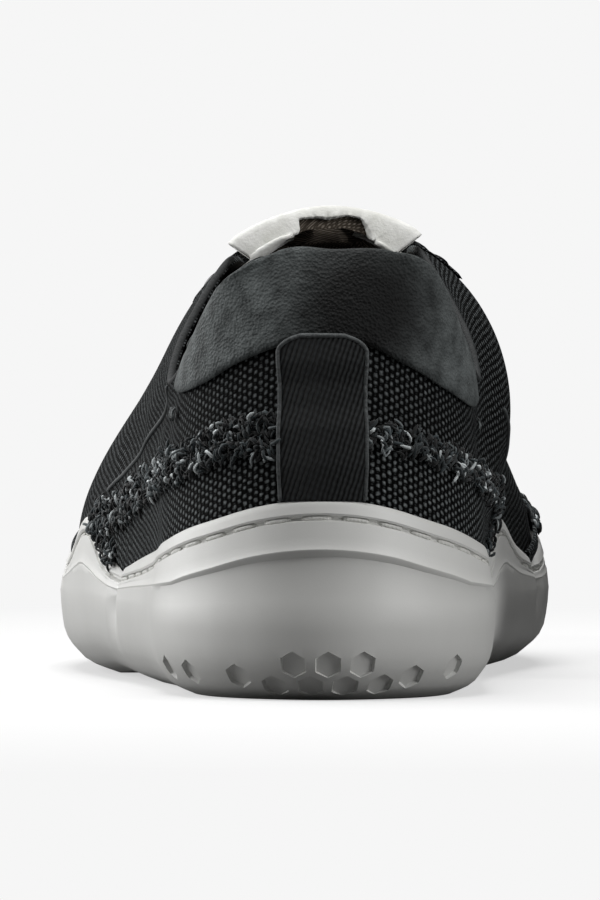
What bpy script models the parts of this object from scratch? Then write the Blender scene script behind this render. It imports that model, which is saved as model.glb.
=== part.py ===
"""Low canvas barefoot shoe for the left foot: cupsole, canvas upper, frayed overlays, tongue and lace.

Metres, +Z up, toe towards +Y, the inner (medial) side of the foot at +X.
The origin is on the floor at the middle of the heel's flat spot.
"""

import math

import bmesh
import bpy
import numpy as np
from mathutils import Matrix, Vector

# Driving sizes of the last and the shoe
SHOE_LENGTH = 0.283
BALL_WIDTH = 0.104
HEEL_HEIGHT = 0.0880
INSTEP_HEIGHT = 0.0870
HEEL_REST = 0.040

# Sole
SOLE_EDGE = 0.0395
BULGE_HEIGHT = 0.0165
ROLL_UNDER = 0.0088
LIP_LEAN = 0.0024
CUP_WALL = 0.0034
FOOTBED = 0.0060
TOE_SPRING = 0.0065
ARCH_RISE = 0.0012
CHANNEL_BELOW = 0.0036
CHANNEL_WIDTH = 0.0011
CHANNEL_DEPTH = 0.0012
BEVEL_BELOW = 0.0096
BEVEL_STEP = 0.0007
BEVEL_RUN = 0.0006
LIP_ROUND = 0.0007
LIP_DROP = 0.0009
RIM_DROP = 0.0002
VALLEY_DEPTH = 0.0016
VALLEY_WIDTH = 0.0050
PIT_PITCH = 0.00685
PIT_WIDTH = 0.0052
PIT_DEPTH = 0.0009

# Sheet thicknesses and fits
CLEAR = 0.0003
PANEL_CLEAR = 0.0006
MERGE = 0.00002
UPPER_WALL = 0.0016
INSOLE_THICK = 0.0040
OVERLAY_THICK = 0.0012
TAB_THICK = 0.0014
TAPE_THICK = 0.0010
TAPE_WIDTH = 0.0162
TAPE_BELOW_COLLAR = 0.0172
TAPE_TOP = HEEL_HEIGHT - TAPE_BELOW_COLLAR
TAPE_HOLLOW = (TAPE_TOP - 0.0173, TAPE_TOP - 0.0048)
TAPE_HOLLOW_RUN = 0.0040
TAPE_HOLLOW_DEPTH = 0.0008
TONGUE_THICK = 0.0026
TONGUE_CLEAR = 0.0010
TONGUE_RISE = 0.0066
TONGUE_CORNER = 0.0040
TONGUE_CROWN = 0.0060
TONGUE_LEAN = 0.0070
TONGUE_ENDS = (0.335, 0.965)
FACING_WIDTH = 0.0135
FACING_THICK = 0.0010
FRINGE_BAND = 0.0050
PANEL_LEAST = 0.0015
EDGE_WAVE = 0.0010
LOCK_RISE = 0.0018
LOCK_SWAY = 0.00126
SMALLEST_LOCK_AREA = 5e-6
LACE_WIDTH = 0.0064
LACE_THICK = 0.0014
EYELET_OUTER = 0.0040
EYELET_WIRE = 0.0009
EYELET_INSET = 0.0068

# Notches of the sole's top edge, as shares of the shoe's length
LATERAL_NOTCHES = (0.357, 0.602)
MEDIAL_NOTCHES = (0.330, 0.602)

# Outline of the sole: share of length, half widths as shares of ball width, roll-under of each side
OUTLINE = (
    # along, lateral, medial, lateral_roll, medial_roll
    (0.018, 0.144, 0.144, 1.00, 1.00),
    (0.042, 0.221, 0.221, 1.00, 1.00),
    (0.078, 0.284, 0.284, 1.00, 1.00),
    (0.124, 0.322, 0.322, 1.00, 1.00),
    (0.212, 0.342, 0.334, 1.00, 1.00),
    (0.318, 0.394, 0.336, 1.05, 1.10),
    (0.424, 0.461, 0.358, 1.10, 1.25),
    (0.530, 0.515, 0.404, 1.20, 1.45),
    (0.618, 0.535, 0.452, 1.25, 1.60),
    (0.700, 0.524, 0.466, 1.25, 1.60),
    (0.777, 0.486, 0.452, 1.20, 1.45),
    (0.850, 0.415, 0.414, 1.15, 1.25),
    (0.915, 0.314, 0.348, 1.10, 1.10),
    (0.965, 0.195, 0.248, 1.00, 1.00),
)
HEEL_CENTRE = 0.0
TOE_CENTRE = 0.048

# Height of the sole's top edge inside each lobe: share of the lobe's run, share of SOLE_EDGE
HEEL_LOBE = (
    (0.0, 1.0),
    (0.05, 0.957),
    (0.10, 0.909),
    (0.19, 0.851),
    (0.32, 0.785),
    (0.58, 0.716),
    (0.80, 0.653),
    (1.0, 0.578),
)
SIDE_LOBE = (
    (0.0, 0.578),
    (0.20, 0.680),
    (0.44, 0.835),
    (0.50, 0.835),
    (0.75, 0.690),
    (1.0, 0.580),
)
TOE_LOBE = (
    (0.0, 0.580),
    (0.15, 0.640),
    (0.36, 0.710),
    (0.60, 0.810),
    (0.85, 0.850),
    (1.0, 0.840),
)

# Lower wall: share of BULGE_HEIGHT, share of ROLL_UNDER
LOWER_WALL = ((0.0, 1.0), (0.09, 0.61), (0.24, 0.33), (0.40, 0.14), (0.66, 0.04), (1.0, 0.0))

# The upper's wall: from the top of the straight skirt inside the cup to the topline.
# top_along is a share of length, top_side of ball width, top_height of HEEL_HEIGHT up to the dip and of
# INSTEP_HEIGHT after it; low and high are the wall's two pulling points, in plan and in height, between
# skirt and top. UPPER_HEEL and UPPER_TOE hold the same fields, after along, on the middle line.
SIDE_FIELD = 2
HEIGHT_FIELD = 3
UPPER_HEEL = (1.030, 0.048, 0.024, 1.000, 0.00, 0.40, 0.05, 0.75)
UPPER_TOE = (0.800, 0.646, 0.010, 0.645, 0.05, 0.38, 0.37, 0.72)
LATERAL_UPPER = (
    # along, skirt, top_along, top_side, top_height, low_plan, low_rise, high_plan, high_rise
    (0.030, 0.985, 0.048, 0.080, 1.000, 0.00, 0.40, 0.05, 0.75),
    (0.078, 0.880, 0.056, 0.168, 0.949, 0.00, 0.40, 0.05, 0.75),
    (0.148, 0.830, 0.106, 0.250, 0.772, 0.00, 0.38, 0.05, 0.72),
    (0.212, 0.810, 0.180, 0.298, 0.706, 0.00, 0.35, 0.10, 0.70),
    (0.268, 0.810, 0.233, 0.274, 0.822, -0.35, 0.35, 0.10, 0.72),
    (0.329, 0.820, 0.304, 0.192, 0.989, -0.08, 0.42, 0.37, 0.77),
    (0.449, 0.860, 0.396, 0.120, 0.885, -0.01, 0.37, 0.35, 0.79),
    (0.558, 0.780, 0.495, 0.101, 0.776, 0.02, 0.37, 0.36, 0.78),
    (0.671, 0.640, 0.576, 0.087, 0.690, 0.06, 0.38, 0.36, 0.76),
    (0.799, 0.680, 0.625, 0.067, 0.655, 0.08, 0.38, 0.38, 0.76),
    (0.940, 0.800, 0.643, 0.029, 0.645, 0.06, 0.38, 0.37, 0.73),
)
MEDIAL_UPPER = (
    # along, skirt, top_along, top_side, top_height, low_plan, low_rise, high_plan, high_rise
    (0.030, 0.985, 0.048, 0.125, 1.000, 0.00, 0.40, 0.05, 0.75),
    (0.078, 0.880, 0.060, 0.195, 0.972, 0.00, 0.40, 0.05, 0.75),
    (0.148, 0.830, 0.110, 0.255, 0.818, 0.00, 0.38, 0.05, 0.72),
    (0.212, 0.810, 0.176, 0.303, 0.710, 0.00, 0.35, 0.10, 0.70),
    (0.268, 0.810, 0.223, 0.282, 0.828, -0.60, 0.35, -0.20, 0.72),
    (0.329, 0.820, 0.304, 0.197, 1.011, -0.90, 0.32, -0.62, 0.80),
    (0.449, 0.860, 0.396, 0.139, 0.908, -0.34, 0.36, -0.10, 0.80),
    (0.558, 0.780, 0.495, 0.115, 0.793, -0.06, 0.35, 0.22, 0.80),
    (0.671, 0.640, 0.576, 0.101, 0.701, 0.00, 0.40, 0.32, 0.75),
    (0.799, 0.680, 0.625, 0.082, 0.661, 0.03, 0.40, 0.35, 0.75),
    (0.940, 0.800, 0.643, 0.043, 0.645, 0.05, 0.38, 0.37, 0.73),
)
DIP_ALONG = 0.215

# Raw top edge of the heel overlay and of the toe overlay: share of length, share of INSTEP_HEIGHT
HEEL_RAW_LATERAL = (
    (0.0, 0.582),
    (0.03, 0.580),
    (0.07, 0.535),
    (0.24, 0.467),
    (0.42, 0.377),
    (0.455, 0.372),
)
HEEL_RAW_MEDIAL = (
    (0.0, 0.582),
    (0.03, 0.575),
    (0.07, 0.528),
    (0.13, 0.486),
    (0.39, 0.420),
    (0.445, 0.385),
)
TOE_RAW = (
    (0.585, 0.280),
    (0.618, 0.300),
    (0.665, 0.328),
    (0.725, 0.370),
    (0.82, 0.425),
    (0.92, 0.455),
    (1.0, 0.462),
)
HEEL_PANEL_ENDS = (0.440, 0.430)
TOE_PANEL_START = 0.592

# Lower edge of the heel tab: share of length along the sole, share of HEEL_HEIGHT
TAB_LOWER_LATERAL = (
    (0.0, 0.789),
    (0.008, 0.789),
    (0.03, 0.752),
    (0.06, 0.706),
    (0.11, 0.681),
    (0.16, 0.690),
)
TAB_LOWER_MEDIAL = (
    (0.0, 0.789),
    (0.008, 0.789),
    (0.03, 0.742),
    (0.06, 0.695),
    (0.12, 0.650),
    (0.18, 0.655),
)
TAB_ENDS = (0.150, 0.172)

EYELETS = (0.378, 0.428, 0.478, 0.530, 0.584)
FACING_START = 0.332

# Half the number of samples round the ring, and rows up a wall
SOLE_HALF = 40
UPPER_HALF = 38
UPPER_ROWS = 8


def colour(code):
    """A web colour as the linear numbers that a material takes."""
    channels = [int(code[i : i + 2], 16) / 255 for i in (0, 2, 4)]
    return [c / 12.92 if c < 0.04045 else ((c + 0.055) / 1.055) ** 2.4 for c in channels] + [1.0]


def curve_through(keys, values, loop=None):
    """A smooth curve through the rows of a table, closed when loop gives the length of one turn."""
    x = np.array(keys, dtype=float)
    y = np.array(values, dtype=float)
    if loop:
        x = np.concatenate((x[-2:] - loop, x, x[:2] + loop))
        y = np.concatenate((y[-2:], y, y[:2]))
    rise = np.diff(y) / np.diff(x)
    step = np.diff(x)
    slope = np.empty_like(y)
    slope[1:-1] = (rise[:-1] * step[1:] + rise[1:] * step[:-1]) / (step[:-1] + step[1:])
    slope[0] = rise[0]
    slope[-1] = rise[-1]

    def read(at):
        at = np.clip(np.asarray(at, dtype=float), x[0], x[-1])
        i = np.clip(np.searchsorted(x, at) - 1, 0, len(x) - 2)
        h = x[i + 1] - x[i]
        t = (at - x[i]) / h
        return (
            (2 * t**3 - 3 * t**2 + 1) * y[i]
            + (t**3 - 2 * t**2 + t) * h * slope[i]
            + (3 * t**2 - 2 * t**3) * y[i + 1]
            + (t**3 - t**2) * h * slope[i + 1]
        )

    return read


def turn(along):
    """Place round the ring, 0 at the heel's back and 1 at the toe's tip, of a share of the length."""
    return np.arccos(np.clip(1 - 2 * np.asarray(along, dtype=float), -1, 1)) / math.pi


def along_of(turns):
    return (1 - np.cos(math.pi * np.asarray(turns, dtype=float))) / 2


def ring_curve(lateral, medial, heel, toe):
    """A closed curve round the shoe: turns run from -1 at the toe by the lateral side to 1."""
    keys = [-turn(a) for a, _ in reversed(lateral)] + [0.0] + [turn(a) for a, _ in medial] + [1.0]
    values = [v for _, v in reversed(lateral)] + [heel] + [v for _, v in medial] + [toe]
    return curve_through(keys, values, loop=2.0)


outline_side = ring_curve(
    [(r[0], -r[1]) for r in OUTLINE], [(r[0], r[2]) for r in OUTLINE], HEEL_CENTRE, TOE_CENTRE
)
roll_share = ring_curve([(r[0], r[3]) for r in OUTLINE], [(r[0], r[4]) for r in OUTLINE], 1.0, 1.0)


def outline(turns, inset=0.0):
    """Points of the sole's widest line in plan, moved inwards by the inset."""
    turns = np.asarray(turns, dtype=float)

    def place(t):
        return BALL_WIDTH * outline_side((t + 1) % 2 - 1), SHOE_LENGTH * along_of(t) - HEEL_REST

    step = 1e-3
    x, y = place(turns)
    x1, y1 = place(turns + step)
    x0, y0 = place(turns - step)
    run = np.hypot(x1 - x0, y1 - y0)
    return x - inset * (y1 - y0) / run, y + inset * (x1 - x0) / run


def lift(y):
    """Rise of the sole's underside at the waist and under the toes."""
    share = (np.asarray(y, dtype=float) + HEEL_REST) / SHOE_LENGTH
    spring = np.clip((share - 0.765) / 0.235, 0, 1) ** 2
    waist = np.clip(1 - np.abs(share - 0.425) / 0.095, 0, 1)
    return TOE_SPRING * spring + ARCH_RISE * waist * waist * (3 - 2 * waist)


heel_lobe = curve_through(*zip(*HEEL_LOBE))
side_lobe = curve_through(*zip(*SIDE_LOBE))
toe_lobe = curve_through(*zip(*TOE_LOBE))


def notches(turns):
    """The two notches on the side that each place lies on."""
    on_medial = np.asarray(turns) > 0
    return tuple(np.where(on_medial, m, n) for n, m in zip(LATERAL_NOTCHES, MEDIAL_NOTCHES))


def edge_height(turns):
    """Height of the sole's scalloped top edge."""
    along = along_of(turns)
    first, second = notches(turns)
    heel = heel_lobe(along / first)
    side = side_lobe((along - first) / (second - first))
    toe = toe_lobe((along - second) / (1 - second))
    return SOLE_EDGE * np.where(along < first, heel, np.where(along < second, side, toe))


def valley(turns):
    """1 on the crease that runs down from each notch, falling to 0 beside it."""
    along = along_of(turns) * SHOE_LENGTH
    near = np.minimum(*[np.abs(along - n * SHOE_LENGTH) for n in notches(turns)])
    return np.clip(1 - near / VALLEY_WIDTH, 0, 1)


def sole_ring(turns, height, inset):
    """One ring of the sole, raised with the underside near the floor."""
    x, y = outline(turns, inset)
    top = edge_height(turns)
    return np.stack((x, y, height + lift(y) * (1 - height / top)), axis=1)


def lower_inset(turns, share):
    table = np.array(LOWER_WALL)
    return ROLL_UNDER * roll_share(turns) * np.interp(share, table[:, 0], table[:, 1])


def sole_rings(turns):
    """Rings of the sole from its flat tread up the outside, over the lip and down into the cup."""
    top = edge_height(turns)
    run = top - BULGE_HEIGHT
    crease = VALLEY_DEPTH * valley(turns)
    rings = []
    for share, _ in LOWER_WALL:
        inset = lower_inset(turns, share) + crease * share * share
        rings.append(sole_ring(turns, BULGE_HEIGHT * share, inset))
    bevel = np.minimum(BEVEL_BELOW, 0.60 * run)
    channel = np.minimum(CHANNEL_BELOW, 0.36 * run)
    half = CHANNEL_WIDTH / 2
    for below, extra in (
        (bevel + BEVEL_RUN, 0.0),
        (bevel, BEVEL_STEP),
        (channel + half, BEVEL_STEP),
        (channel + half * 0.6, BEVEL_STEP + CHANNEL_DEPTH),
        (channel - half * 0.6, BEVEL_STEP + CHANNEL_DEPTH),
        (channel - half, BEVEL_STEP),
        (LIP_DROP, BEVEL_STEP),
        (0.0, BEVEL_STEP + LIP_ROUND),
    ):
        height = top - below
        lean = LIP_LEAN * (height - BULGE_HEIGHT) / (SOLE_EDGE - BULGE_HEIGHT)
        rings.append(sole_ring(turns, height, lean * 0.5 + extra + crease * 0.6))
    rings.append(sole_ring(turns, top - RIM_DROP, CUP_WALL))
    rings.append(sole_ring(turns, FOOTBED, CUP_WALL))
    return rings


def wall_tables():
    """Ring curves for the skirt height, the topline and the pulling points of the upper's wall."""

    def values(rows, field):
        read = []
        for row in rows:
            value = row[field + 1]
            if field == HEIGHT_FIELD:
                value *= HEEL_HEIGHT if row[0] < DIP_ALONG else INSTEP_HEIGHT
            read.append((row[0], value))
        return read

    curves = []
    for field, (heel, toe) in enumerate(zip(UPPER_HEEL, UPPER_TOE)):
        lateral, medial = values(LATERAL_UPPER, field), values(MEDIAL_UPPER, field)
        if field == SIDE_FIELD:
            lateral = [(along, -value) for along, value in lateral]
        if field == HEIGHT_FIELD:
            heel, toe = heel * HEEL_HEIGHT, toe * INSTEP_HEIGHT
        curves.append(ring_curve(lateral, medial, heel, toe))
    return curves


SKIRT, TOP_ALONG, TOP_SIDE, TOP_HEIGHT, LOW_PLAN, LOW_RISE, HIGH_PLAN, HIGH_RISE = wall_tables()


def topline(turns):
    turns = (np.asarray(turns, dtype=float) + 1) % 2 - 1
    return np.stack(
        (BALL_WIDTH * TOP_SIDE(turns), SHOE_LENGTH * TOP_ALONG(turns) - HEEL_REST, TOP_HEIGHT(turns)), axis=-1
    )


def wall(turns, up):
    """The upper's outer surface: up is 0 at the top of its straight skirt and 1 at the topline."""
    turns, up = np.broadcast_arrays(np.asarray(turns, dtype=float), np.asarray(up, dtype=float))
    turns = (turns + 1) % 2 - 1
    x, y = outline(turns, CUP_WALL + CLEAR)
    foot = np.stack((x, y, SOLE_EDGE * SKIRT(turns)), axis=-1)
    top = topline(turns)

    def pulled(plan, rise):
        shares = np.stack((plan, plan, rise), axis=-1)
        return foot + shares * (top - foot)

    low = pulled(LOW_PLAN(turns), LOW_RISE(turns))
    high = pulled(HIGH_PLAN(turns), HIGH_RISE(turns))
    u = up[..., None]
    return (1 - u) ** 3 * foot + 3 * u * (1 - u) ** 2 * low + 3 * u * u * (1 - u) * high + u**3 * top


def ring_places(half):
    """Even places round the ring, starting and ending at the toe's tip."""
    return np.linspace(-1, 1, 2 * half + 1)[:-1]


def upper_grid():
    """The upper's outer sheet: rows of points from its foot in the cup to the topline, and their normals."""
    turns = ring_places(UPPER_HALF)
    rows = [sole_ring(turns, FOOTBED + CLEAR, CUP_WALL + CLEAR)]
    for row in range(UPPER_ROWS + 1):
        rows.append(wall(turns, row / UPPER_ROWS))
    points = np.array(rows)
    around = np.roll(points, -1, axis=1) - np.roll(points, 1, axis=1)
    normals = np.cross(around, np.gradient(points, axis=0))
    return points, normals / np.linalg.norm(normals, axis=2, keepdims=True)


GRID, GRID_NORMALS = upper_grid()
TOP_ROW = len(GRID) - 1


def column(turns):
    return (turns + 1) * UPPER_HALF


def along_column(values, at):
    """The rows of one column of the grid, between two columns where the place is not a whole number."""
    left = int(math.floor(at))
    share = at - left
    count = values.shape[1]
    return values[:, left % count] * (1 - share) + values[:, (left + 1) % count] * share


def spot(at, row, off):
    """A point off the upper's facets: column, row, and how far outwards."""
    points, normals = along_column(GRID, at), along_column(GRID_NORMALS, at)
    rows = np.arange(len(points))
    point = np.array([np.interp(row, rows, points[:, k]) for k in range(3)])
    normal = np.array([np.interp(row, rows, normals[:, k]) for k in range(3)])
    return point + normal / np.linalg.norm(normal) * off


def row_at_height(at, height):
    return float(np.interp(height, along_column(GRID, at)[:, 2], np.arange(len(GRID))))


def row_below_top(at, distance):
    """The row of a line that runs a distance below the topline."""
    points = along_column(GRID, at)[::-1]
    run = np.concatenate(([0], np.cumsum(np.linalg.norm(np.diff(points, axis=0), axis=1))))
    return TOP_ROW - float(np.interp(distance, run, np.arange(len(run))))


def over_facets(columns, low, high, off):
    """Rings of an overlay that bend where the upper's facets bend, between a low and a high row."""
    rings = [[spot(c, q, off) for c, q in zip(columns, low)]]
    for level in range(1, TOP_ROW):
        near = 0.01 if level == 1 else 0.06
        ring = []
        for c, q0, q1 in zip(columns, low, high):
            q = q0 if level < q0 + near else q1 if level > q1 - near else level
            ring.append(spot(c, q, off))
        rings.append(ring)
    rings.append([spot(c, q, off) for c, q in zip(columns, high)])
    return rings


for old in list(bpy.data.objects):
    bpy.data.objects.remove(old, do_unlink=True)
shoe = bpy.data.collections.new("barefoot_shoe")
cutters = bpy.data.collections.new("cutters")
for group in (shoe, cutters):
    bpy.context.scene.collection.children.link(group)


def material(name, code, roughness):
    made = bpy.data.materials.new(name)
    made.use_nodes = True
    shader = made.node_tree.nodes["Principled BSDF"]
    shader.inputs["Base Color"].default_value = colour(code)
    shader.inputs["Roughness"].default_value = roughness
    shader.inputs["Metallic"].default_value = 0.0
    return made


def place(name, bm, finish, smooth=True, group=shoe):
    mesh = bpy.data.meshes.new(name)
    bm.to_mesh(mesh)
    bm.free()
    thing = bpy.data.objects.new(name, mesh)
    group.objects.link(thing)
    if finish:
        mesh.materials.append(finish)
    if smooth:
        mesh.shade_smooth()
    return thing


def loft(rings, closed):
    """A bmesh with one row of faces between each ring and the next."""
    bm = bmesh.new()
    rows = [[bm.verts.new(p) for p in ring] for ring in rings]
    count = len(rings[0])
    for low, high in zip(rows, rows[1:]):
        for i in range(count if closed else count - 1):
            j = (i + 1) % count
            bm.faces.new((low[i], low[j], high[j], high[i]))
    return bm, rows


def merged(bm):
    """Closes up the rows that lie on each other."""
    bmesh.ops.remove_doubles(bm, verts=bm.verts[:], dist=MERGE)
    return bm


def across(bm, row, upward):
    """Closes a ring with strips that run straight across the shoe."""
    count = len(row)
    for i in range(count // 2):
        j = count - i
        strip = []
        for vert in (row[i], row[i + 1], row[j - 1], row[j % count]):
            if vert not in strip:
                strip.append(vert)
        bm.faces.new(strip if upward else strip[::-1])


def thicken(thing, thickness, side):
    """A real wall for an open sheet: side 1 grows outwards and -1 inwards."""
    shell = thing.modifiers.new("wall", "SOLIDIFY")
    shell.thickness = thickness
    shell.offset = side
    shell.use_even_offset = False
    shell.use_quality_normals = True


def sole_places(half):
    """Places round the ring that crowd together at the notches, the same on both sides."""
    fine = np.linspace(0, 1, 2001)
    weight = np.ones_like(fine)
    for notch in set(LATERAL_NOTCHES + MEDIAL_NOTCHES):
        weight += 2.4 * np.exp(-(((along_of(fine) - notch) * SHOE_LENGTH / 0.0045) ** 2))
    run = np.concatenate(([0], np.cumsum((weight[1:] + weight[:-1]) / 2)))
    places = np.interp(np.linspace(0, run[-1], half + 1), run, fine)
    return np.concatenate((-places[::-1], places[1:-1]))


# Materials, by what each is made of
RUBBER = material("moulded_rubber", "cfcfcc", 0.55)
CANVAS = material("black_canvas", "232425", 0.9)
FRAYED = material("frayed_canvas", "2c2f31", 0.95)
NUBUCK = material("grey_nubuck", "3a3c3d", 0.75)
TWILL = material("black_twill_tape", "1d1e1f", 0.85)
SUEDE = material("light_suede", "d6d6d2", 0.85)
FOAM = material("dark_foam", "2b2926", 0.9)
METAL = material("black_enamelled_brass", "1a1a1b", 0.35)
COTTON = material("black_cotton_lace", "202122", 0.85)


# Outsole: one moulded cup with a scalloped edge, a stitching channel and hexagonal pits
def make_outsole():
    turns = sole_places(SOLE_HALF)
    bm, rows = loft(sole_rings(turns), closed=True)
    across(bm, rows[0], upward=False)
    across(bm, rows[-1], upward=True)
    return place("outsole", bm, RUBBER, smooth=False)


def pit_centres():
    """Rows of the honeycomb up the heel's rolled edge: sideways place and share of BULGE_HEIGHT."""
    centres = []
    for row, share in enumerate((0.44, 0.15)):
        for step in range(-4, 5):
            side = (step + 0.5 * row + 0.15) * PIT_PITCH
            if abs(side) < BALL_WIDTH * 0.24:
                centres.append((side, share))
    return centres


def cut_pits(sole):
    bm = bmesh.new()
    fine = np.linspace(-0.3, 0.3, 601)
    sides, _ = outline(fine)
    for side, share in pit_centres():
        at = np.interp(side, sides, fine)

        def spot(t, s):
            return sole_ring(np.array([t]), BULGE_HEIGHT * s, lower_inset(np.array([t]), s))[0]

        centre = spot(at, share)
        out = np.cross(spot(at + 0.004, share) - centre, spot(at, share + 0.06) - centre)
        out = Vector(out).normalized()
        up = Vector((0, 0, 1))
        sideways = up.cross(out).normalized()
        upright = out.cross(sideways)
        frame = Matrix((sideways, upright, out)).transposed().to_4x4()
        frame.translation = Vector(centre)
        bmesh.ops.create_cone(
            bm,
            cap_ends=True,
            segments=6,
            radius1=PIT_WIDTH / math.sqrt(3),
            radius2=PIT_WIDTH / math.sqrt(3),
            depth=2 * PIT_DEPTH,
            matrix=frame,
        )
    tool = place("pit_cutter", bm, None, smooth=False, group=cutters)
    tool.hide_render = True
    tool.display_type = "WIRE"
    cut = sole.modifiers.new("pits", "BOOLEAN")
    cut.operation = "DIFFERENCE"
    cut.solver = "EXACT"
    cut.use_self = True
    cut.object = tool


# Insole: flat foam footbed that lies in the cup inside the upper's skirt
def make_insole():
    turns = ring_places(UPPER_HALF)
    inset = CUP_WALL + UPPER_WALL + 2 * CLEAR
    low = sole_ring(turns, FOOTBED + CLEAR, inset)
    middle = sole_ring(turns, FOOTBED + CLEAR + INSOLE_THICK * 0.8, inset)
    top = sole_ring(turns, FOOTBED + CLEAR + INSOLE_THICK, inset + 0.0010)
    bm, rows = loft([low, middle, top], closed=True)
    across(bm, rows[0], upward=False)
    across(bm, rows[-1], upward=True)
    return place("insole", bm, FOAM, smooth=False)


# Upper: one hollow canvas shell, open at collar, throat and underneath
def make_upper():
    bm, _ = loft(GRID, closed=True)
    upper = place("upper", bm, CANVAS)
    thicken(upper, UPPER_WALL, -1)
    return upper


def two_sided(lateral, medial):
    """A curve round the heel from one table for each side."""
    keys = [-turn(a) for a, _ in reversed(lateral[1:])] + [turn(a) for a, _ in medial]
    values = [v for _, v in reversed(lateral[1:])] + [v for _, v in medial]
    return curve_through(keys, values)


def frayed_panel(name, columns, low, high, plain):
    """A canvas overlay whose raw top edge stands up in uneven locks, all one body."""
    bands = []
    for c, z0, z1 in zip(columns, low, high):
        bands.append(row_at_height(c, max(z1 - FRINGE_BAND, z0 + 0.4 * (z1 - z0))))
    feet = [row_at_height(c, z) for c, z in zip(columns, low)]
    heads = []
    for k, (c, z1) in enumerate(zip(columns, high)):
        tip = 0.0 if plain(k) else EDGE_WAVE * math.sin(2.1 * k)
        heads.append(row_at_height(c, z1 + tip))
    sheets = []
    for off in (PANEL_CLEAR, PANEL_CLEAR + OVERLAY_THICK):
        sheets.append(over_facets(columns, feet, bands, off) + over_facets(columns, bands, heads, off)[1:])
    bm = bmesh.new()
    inner, outer = ([[bm.verts.new(p) for p in ring] for ring in rings] for rings in sheets)
    locks = []
    count = len(columns)
    for row in range(len(inner) - 1):
        for i in range(count - 1):
            bm.faces.new((inner[row][i], inner[row + 1][i], inner[row + 1][i + 1], inner[row][i + 1]))
            face = bm.faces.new((outer[row][i], outer[row][i + 1], outer[row + 1][i + 1], outer[row + 1][i]))
            if row >= TOP_ROW and not plain(i) and not plain(i + 1):
                locks.append(face)
    for i in range(count - 1):
        bm.faces.new((inner[0][i], inner[0][i + 1], outer[0][i + 1], outer[0][i]))
        bm.faces.new((inner[-1][i + 1], inner[-1][i], outer[-1][i], outer[-1][i + 1]))
    for row in range(len(inner) - 1):
        bm.faces.new((inner[row + 1][0], inner[row][0], outer[row][0], outer[row + 1][0]))
        bm.faces.new((inner[row][-1], inner[row + 1][-1], outer[row + 1][-1], outer[row][-1]))
    bm.normal_update()
    locks = [face for face in locks if face.calc_area() > SMALLEST_LOCK_AREA]
    tips = bmesh.ops.poke(bm, faces=locks, offset=LOCK_RISE)["verts"]
    for k, vert in enumerate(tips):
        vert.co.z += LOCK_SWAY * math.sin(2.4 * k)
    merged(bm)
    return place(name, bm, FRAYED, smooth=False)


heel_raw = two_sided(HEEL_RAW_LATERAL, HEEL_RAW_MEDIAL)
toe_raw = curve_through([turn(a) for a, _ in TOE_RAW], [h for _, h in TOE_RAW])


def columns_between(start, end, step=1.0):
    """Columns of the grid between two places round the ring."""
    first, last = round(column(start)), round(column(end))
    return np.arange(first, last + step / 2, step)


def sole_top(columns):
    """The highest that the sole's facets reach beside each column."""
    turns = np.asarray(columns) / UPPER_HALF - 1
    sides = np.linspace(-0.5, 0.5, 9) / UPPER_HALF
    return np.max([edge_height((turns + side + 1) % 2 - 1) for side in sides], axis=0)


# Heel overlay: canvas counter with a raw frayed top edge, on both sides of the back seam
def make_heel_panel():
    lateral_end, medial_end = HEEL_PANEL_ENDS
    columns = columns_between(-turn(lateral_end), turn(medial_end), 0.5)
    low = sole_top(columns) + CLEAR
    high = np.maximum(INSTEP_HEIGHT * heel_raw(columns / UPPER_HALF - 1), low + PANEL_LEAST)
    behind_tape = [abs(spot(c, 3, 0)[0]) < TAPE_WIDTH * 0.72 and spot(c, 3, 0)[1] < 0 for c in columns]
    frayed_panel("heel_panel", columns, low, high, lambda k: behind_tape[k])


# Toe overlay: canvas guard round the toe with the same raw edge
def make_toe_panel():
    start = turn(TOE_PANEL_START)
    columns = columns_between(start, 2 - start)
    low = sole_top(columns) + CLEAR
    mirrored = 1 - np.abs(columns / UPPER_HALF - 2)
    high = np.maximum(INSTEP_HEIGHT * toe_raw(mirrored), low + PANEL_LEAST)
    frayed_panel("toe_panel", columns, low, high, lambda k: False)


# Heel tab: a leather saddle over the back of the collar
def make_heel_tab():
    lateral_end, medial_end = TAB_ENDS
    columns = columns_between(-turn(lateral_end), turn(medial_end))
    lower = HEEL_HEIGHT * two_sided(TAB_LOWER_LATERAL, TAB_LOWER_MEDIAL)(columns / UPPER_HALF - 1)
    low = [row_at_height(c, z) for c, z in zip(columns, lower)]
    high = [float(TOP_ROW)] * len(columns)
    bm, _ = loft(over_facets(columns, low, high, CLEAR), closed=False)
    tab = place("heel_tab", merged(bm), NUBUCK)
    thicken(tab, TAB_THICK, 1)
    return tab


# Tape: twill strip that covers the back seam, over the overlay and the foot of the tab
def make_heel_tape():
    base = edge_height(np.zeros(1))[0] + CLEAR
    rows = 12
    middle = column(0)
    rings = []
    for row in range(rows + 1):
        share = row / rows
        height = base + (TAPE_TOP - base) * share
        shoulder = max(0.0, (share - 0.88) / 0.12)
        half = TAPE_WIDTH / 2 * math.sqrt(1 - 0.8 * shoulder**2)
        fine = np.arange(middle - 6, middle + 6.01, 0.25)
        wide = [spot(c, row_at_height(c, height), 0.0)[0] for c in fine]
        inside = min(height - TAPE_HOLLOW[0], TAPE_HOLLOW[1] - height) / TAPE_HOLLOW_RUN
        hollow = TAPE_HOLLOW_DEPTH * min(max(inside, 0.0), 1.0)
        off = PANEL_CLEAR + CLEAR + max(OVERLAY_THICK, TAB_THICK) - hollow
        ring = []
        for c in np.interp(np.linspace(-half, half, 5), wide, fine):
            ring.append(spot(c, row_at_height(c, height), off))
        rings.append(ring)
    bm, _ = loft(rings, closed=False)
    tape = place("heel_tape", bm, TWILL)
    thicken(tape, TAPE_THICK, 1)
    return tape


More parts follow.
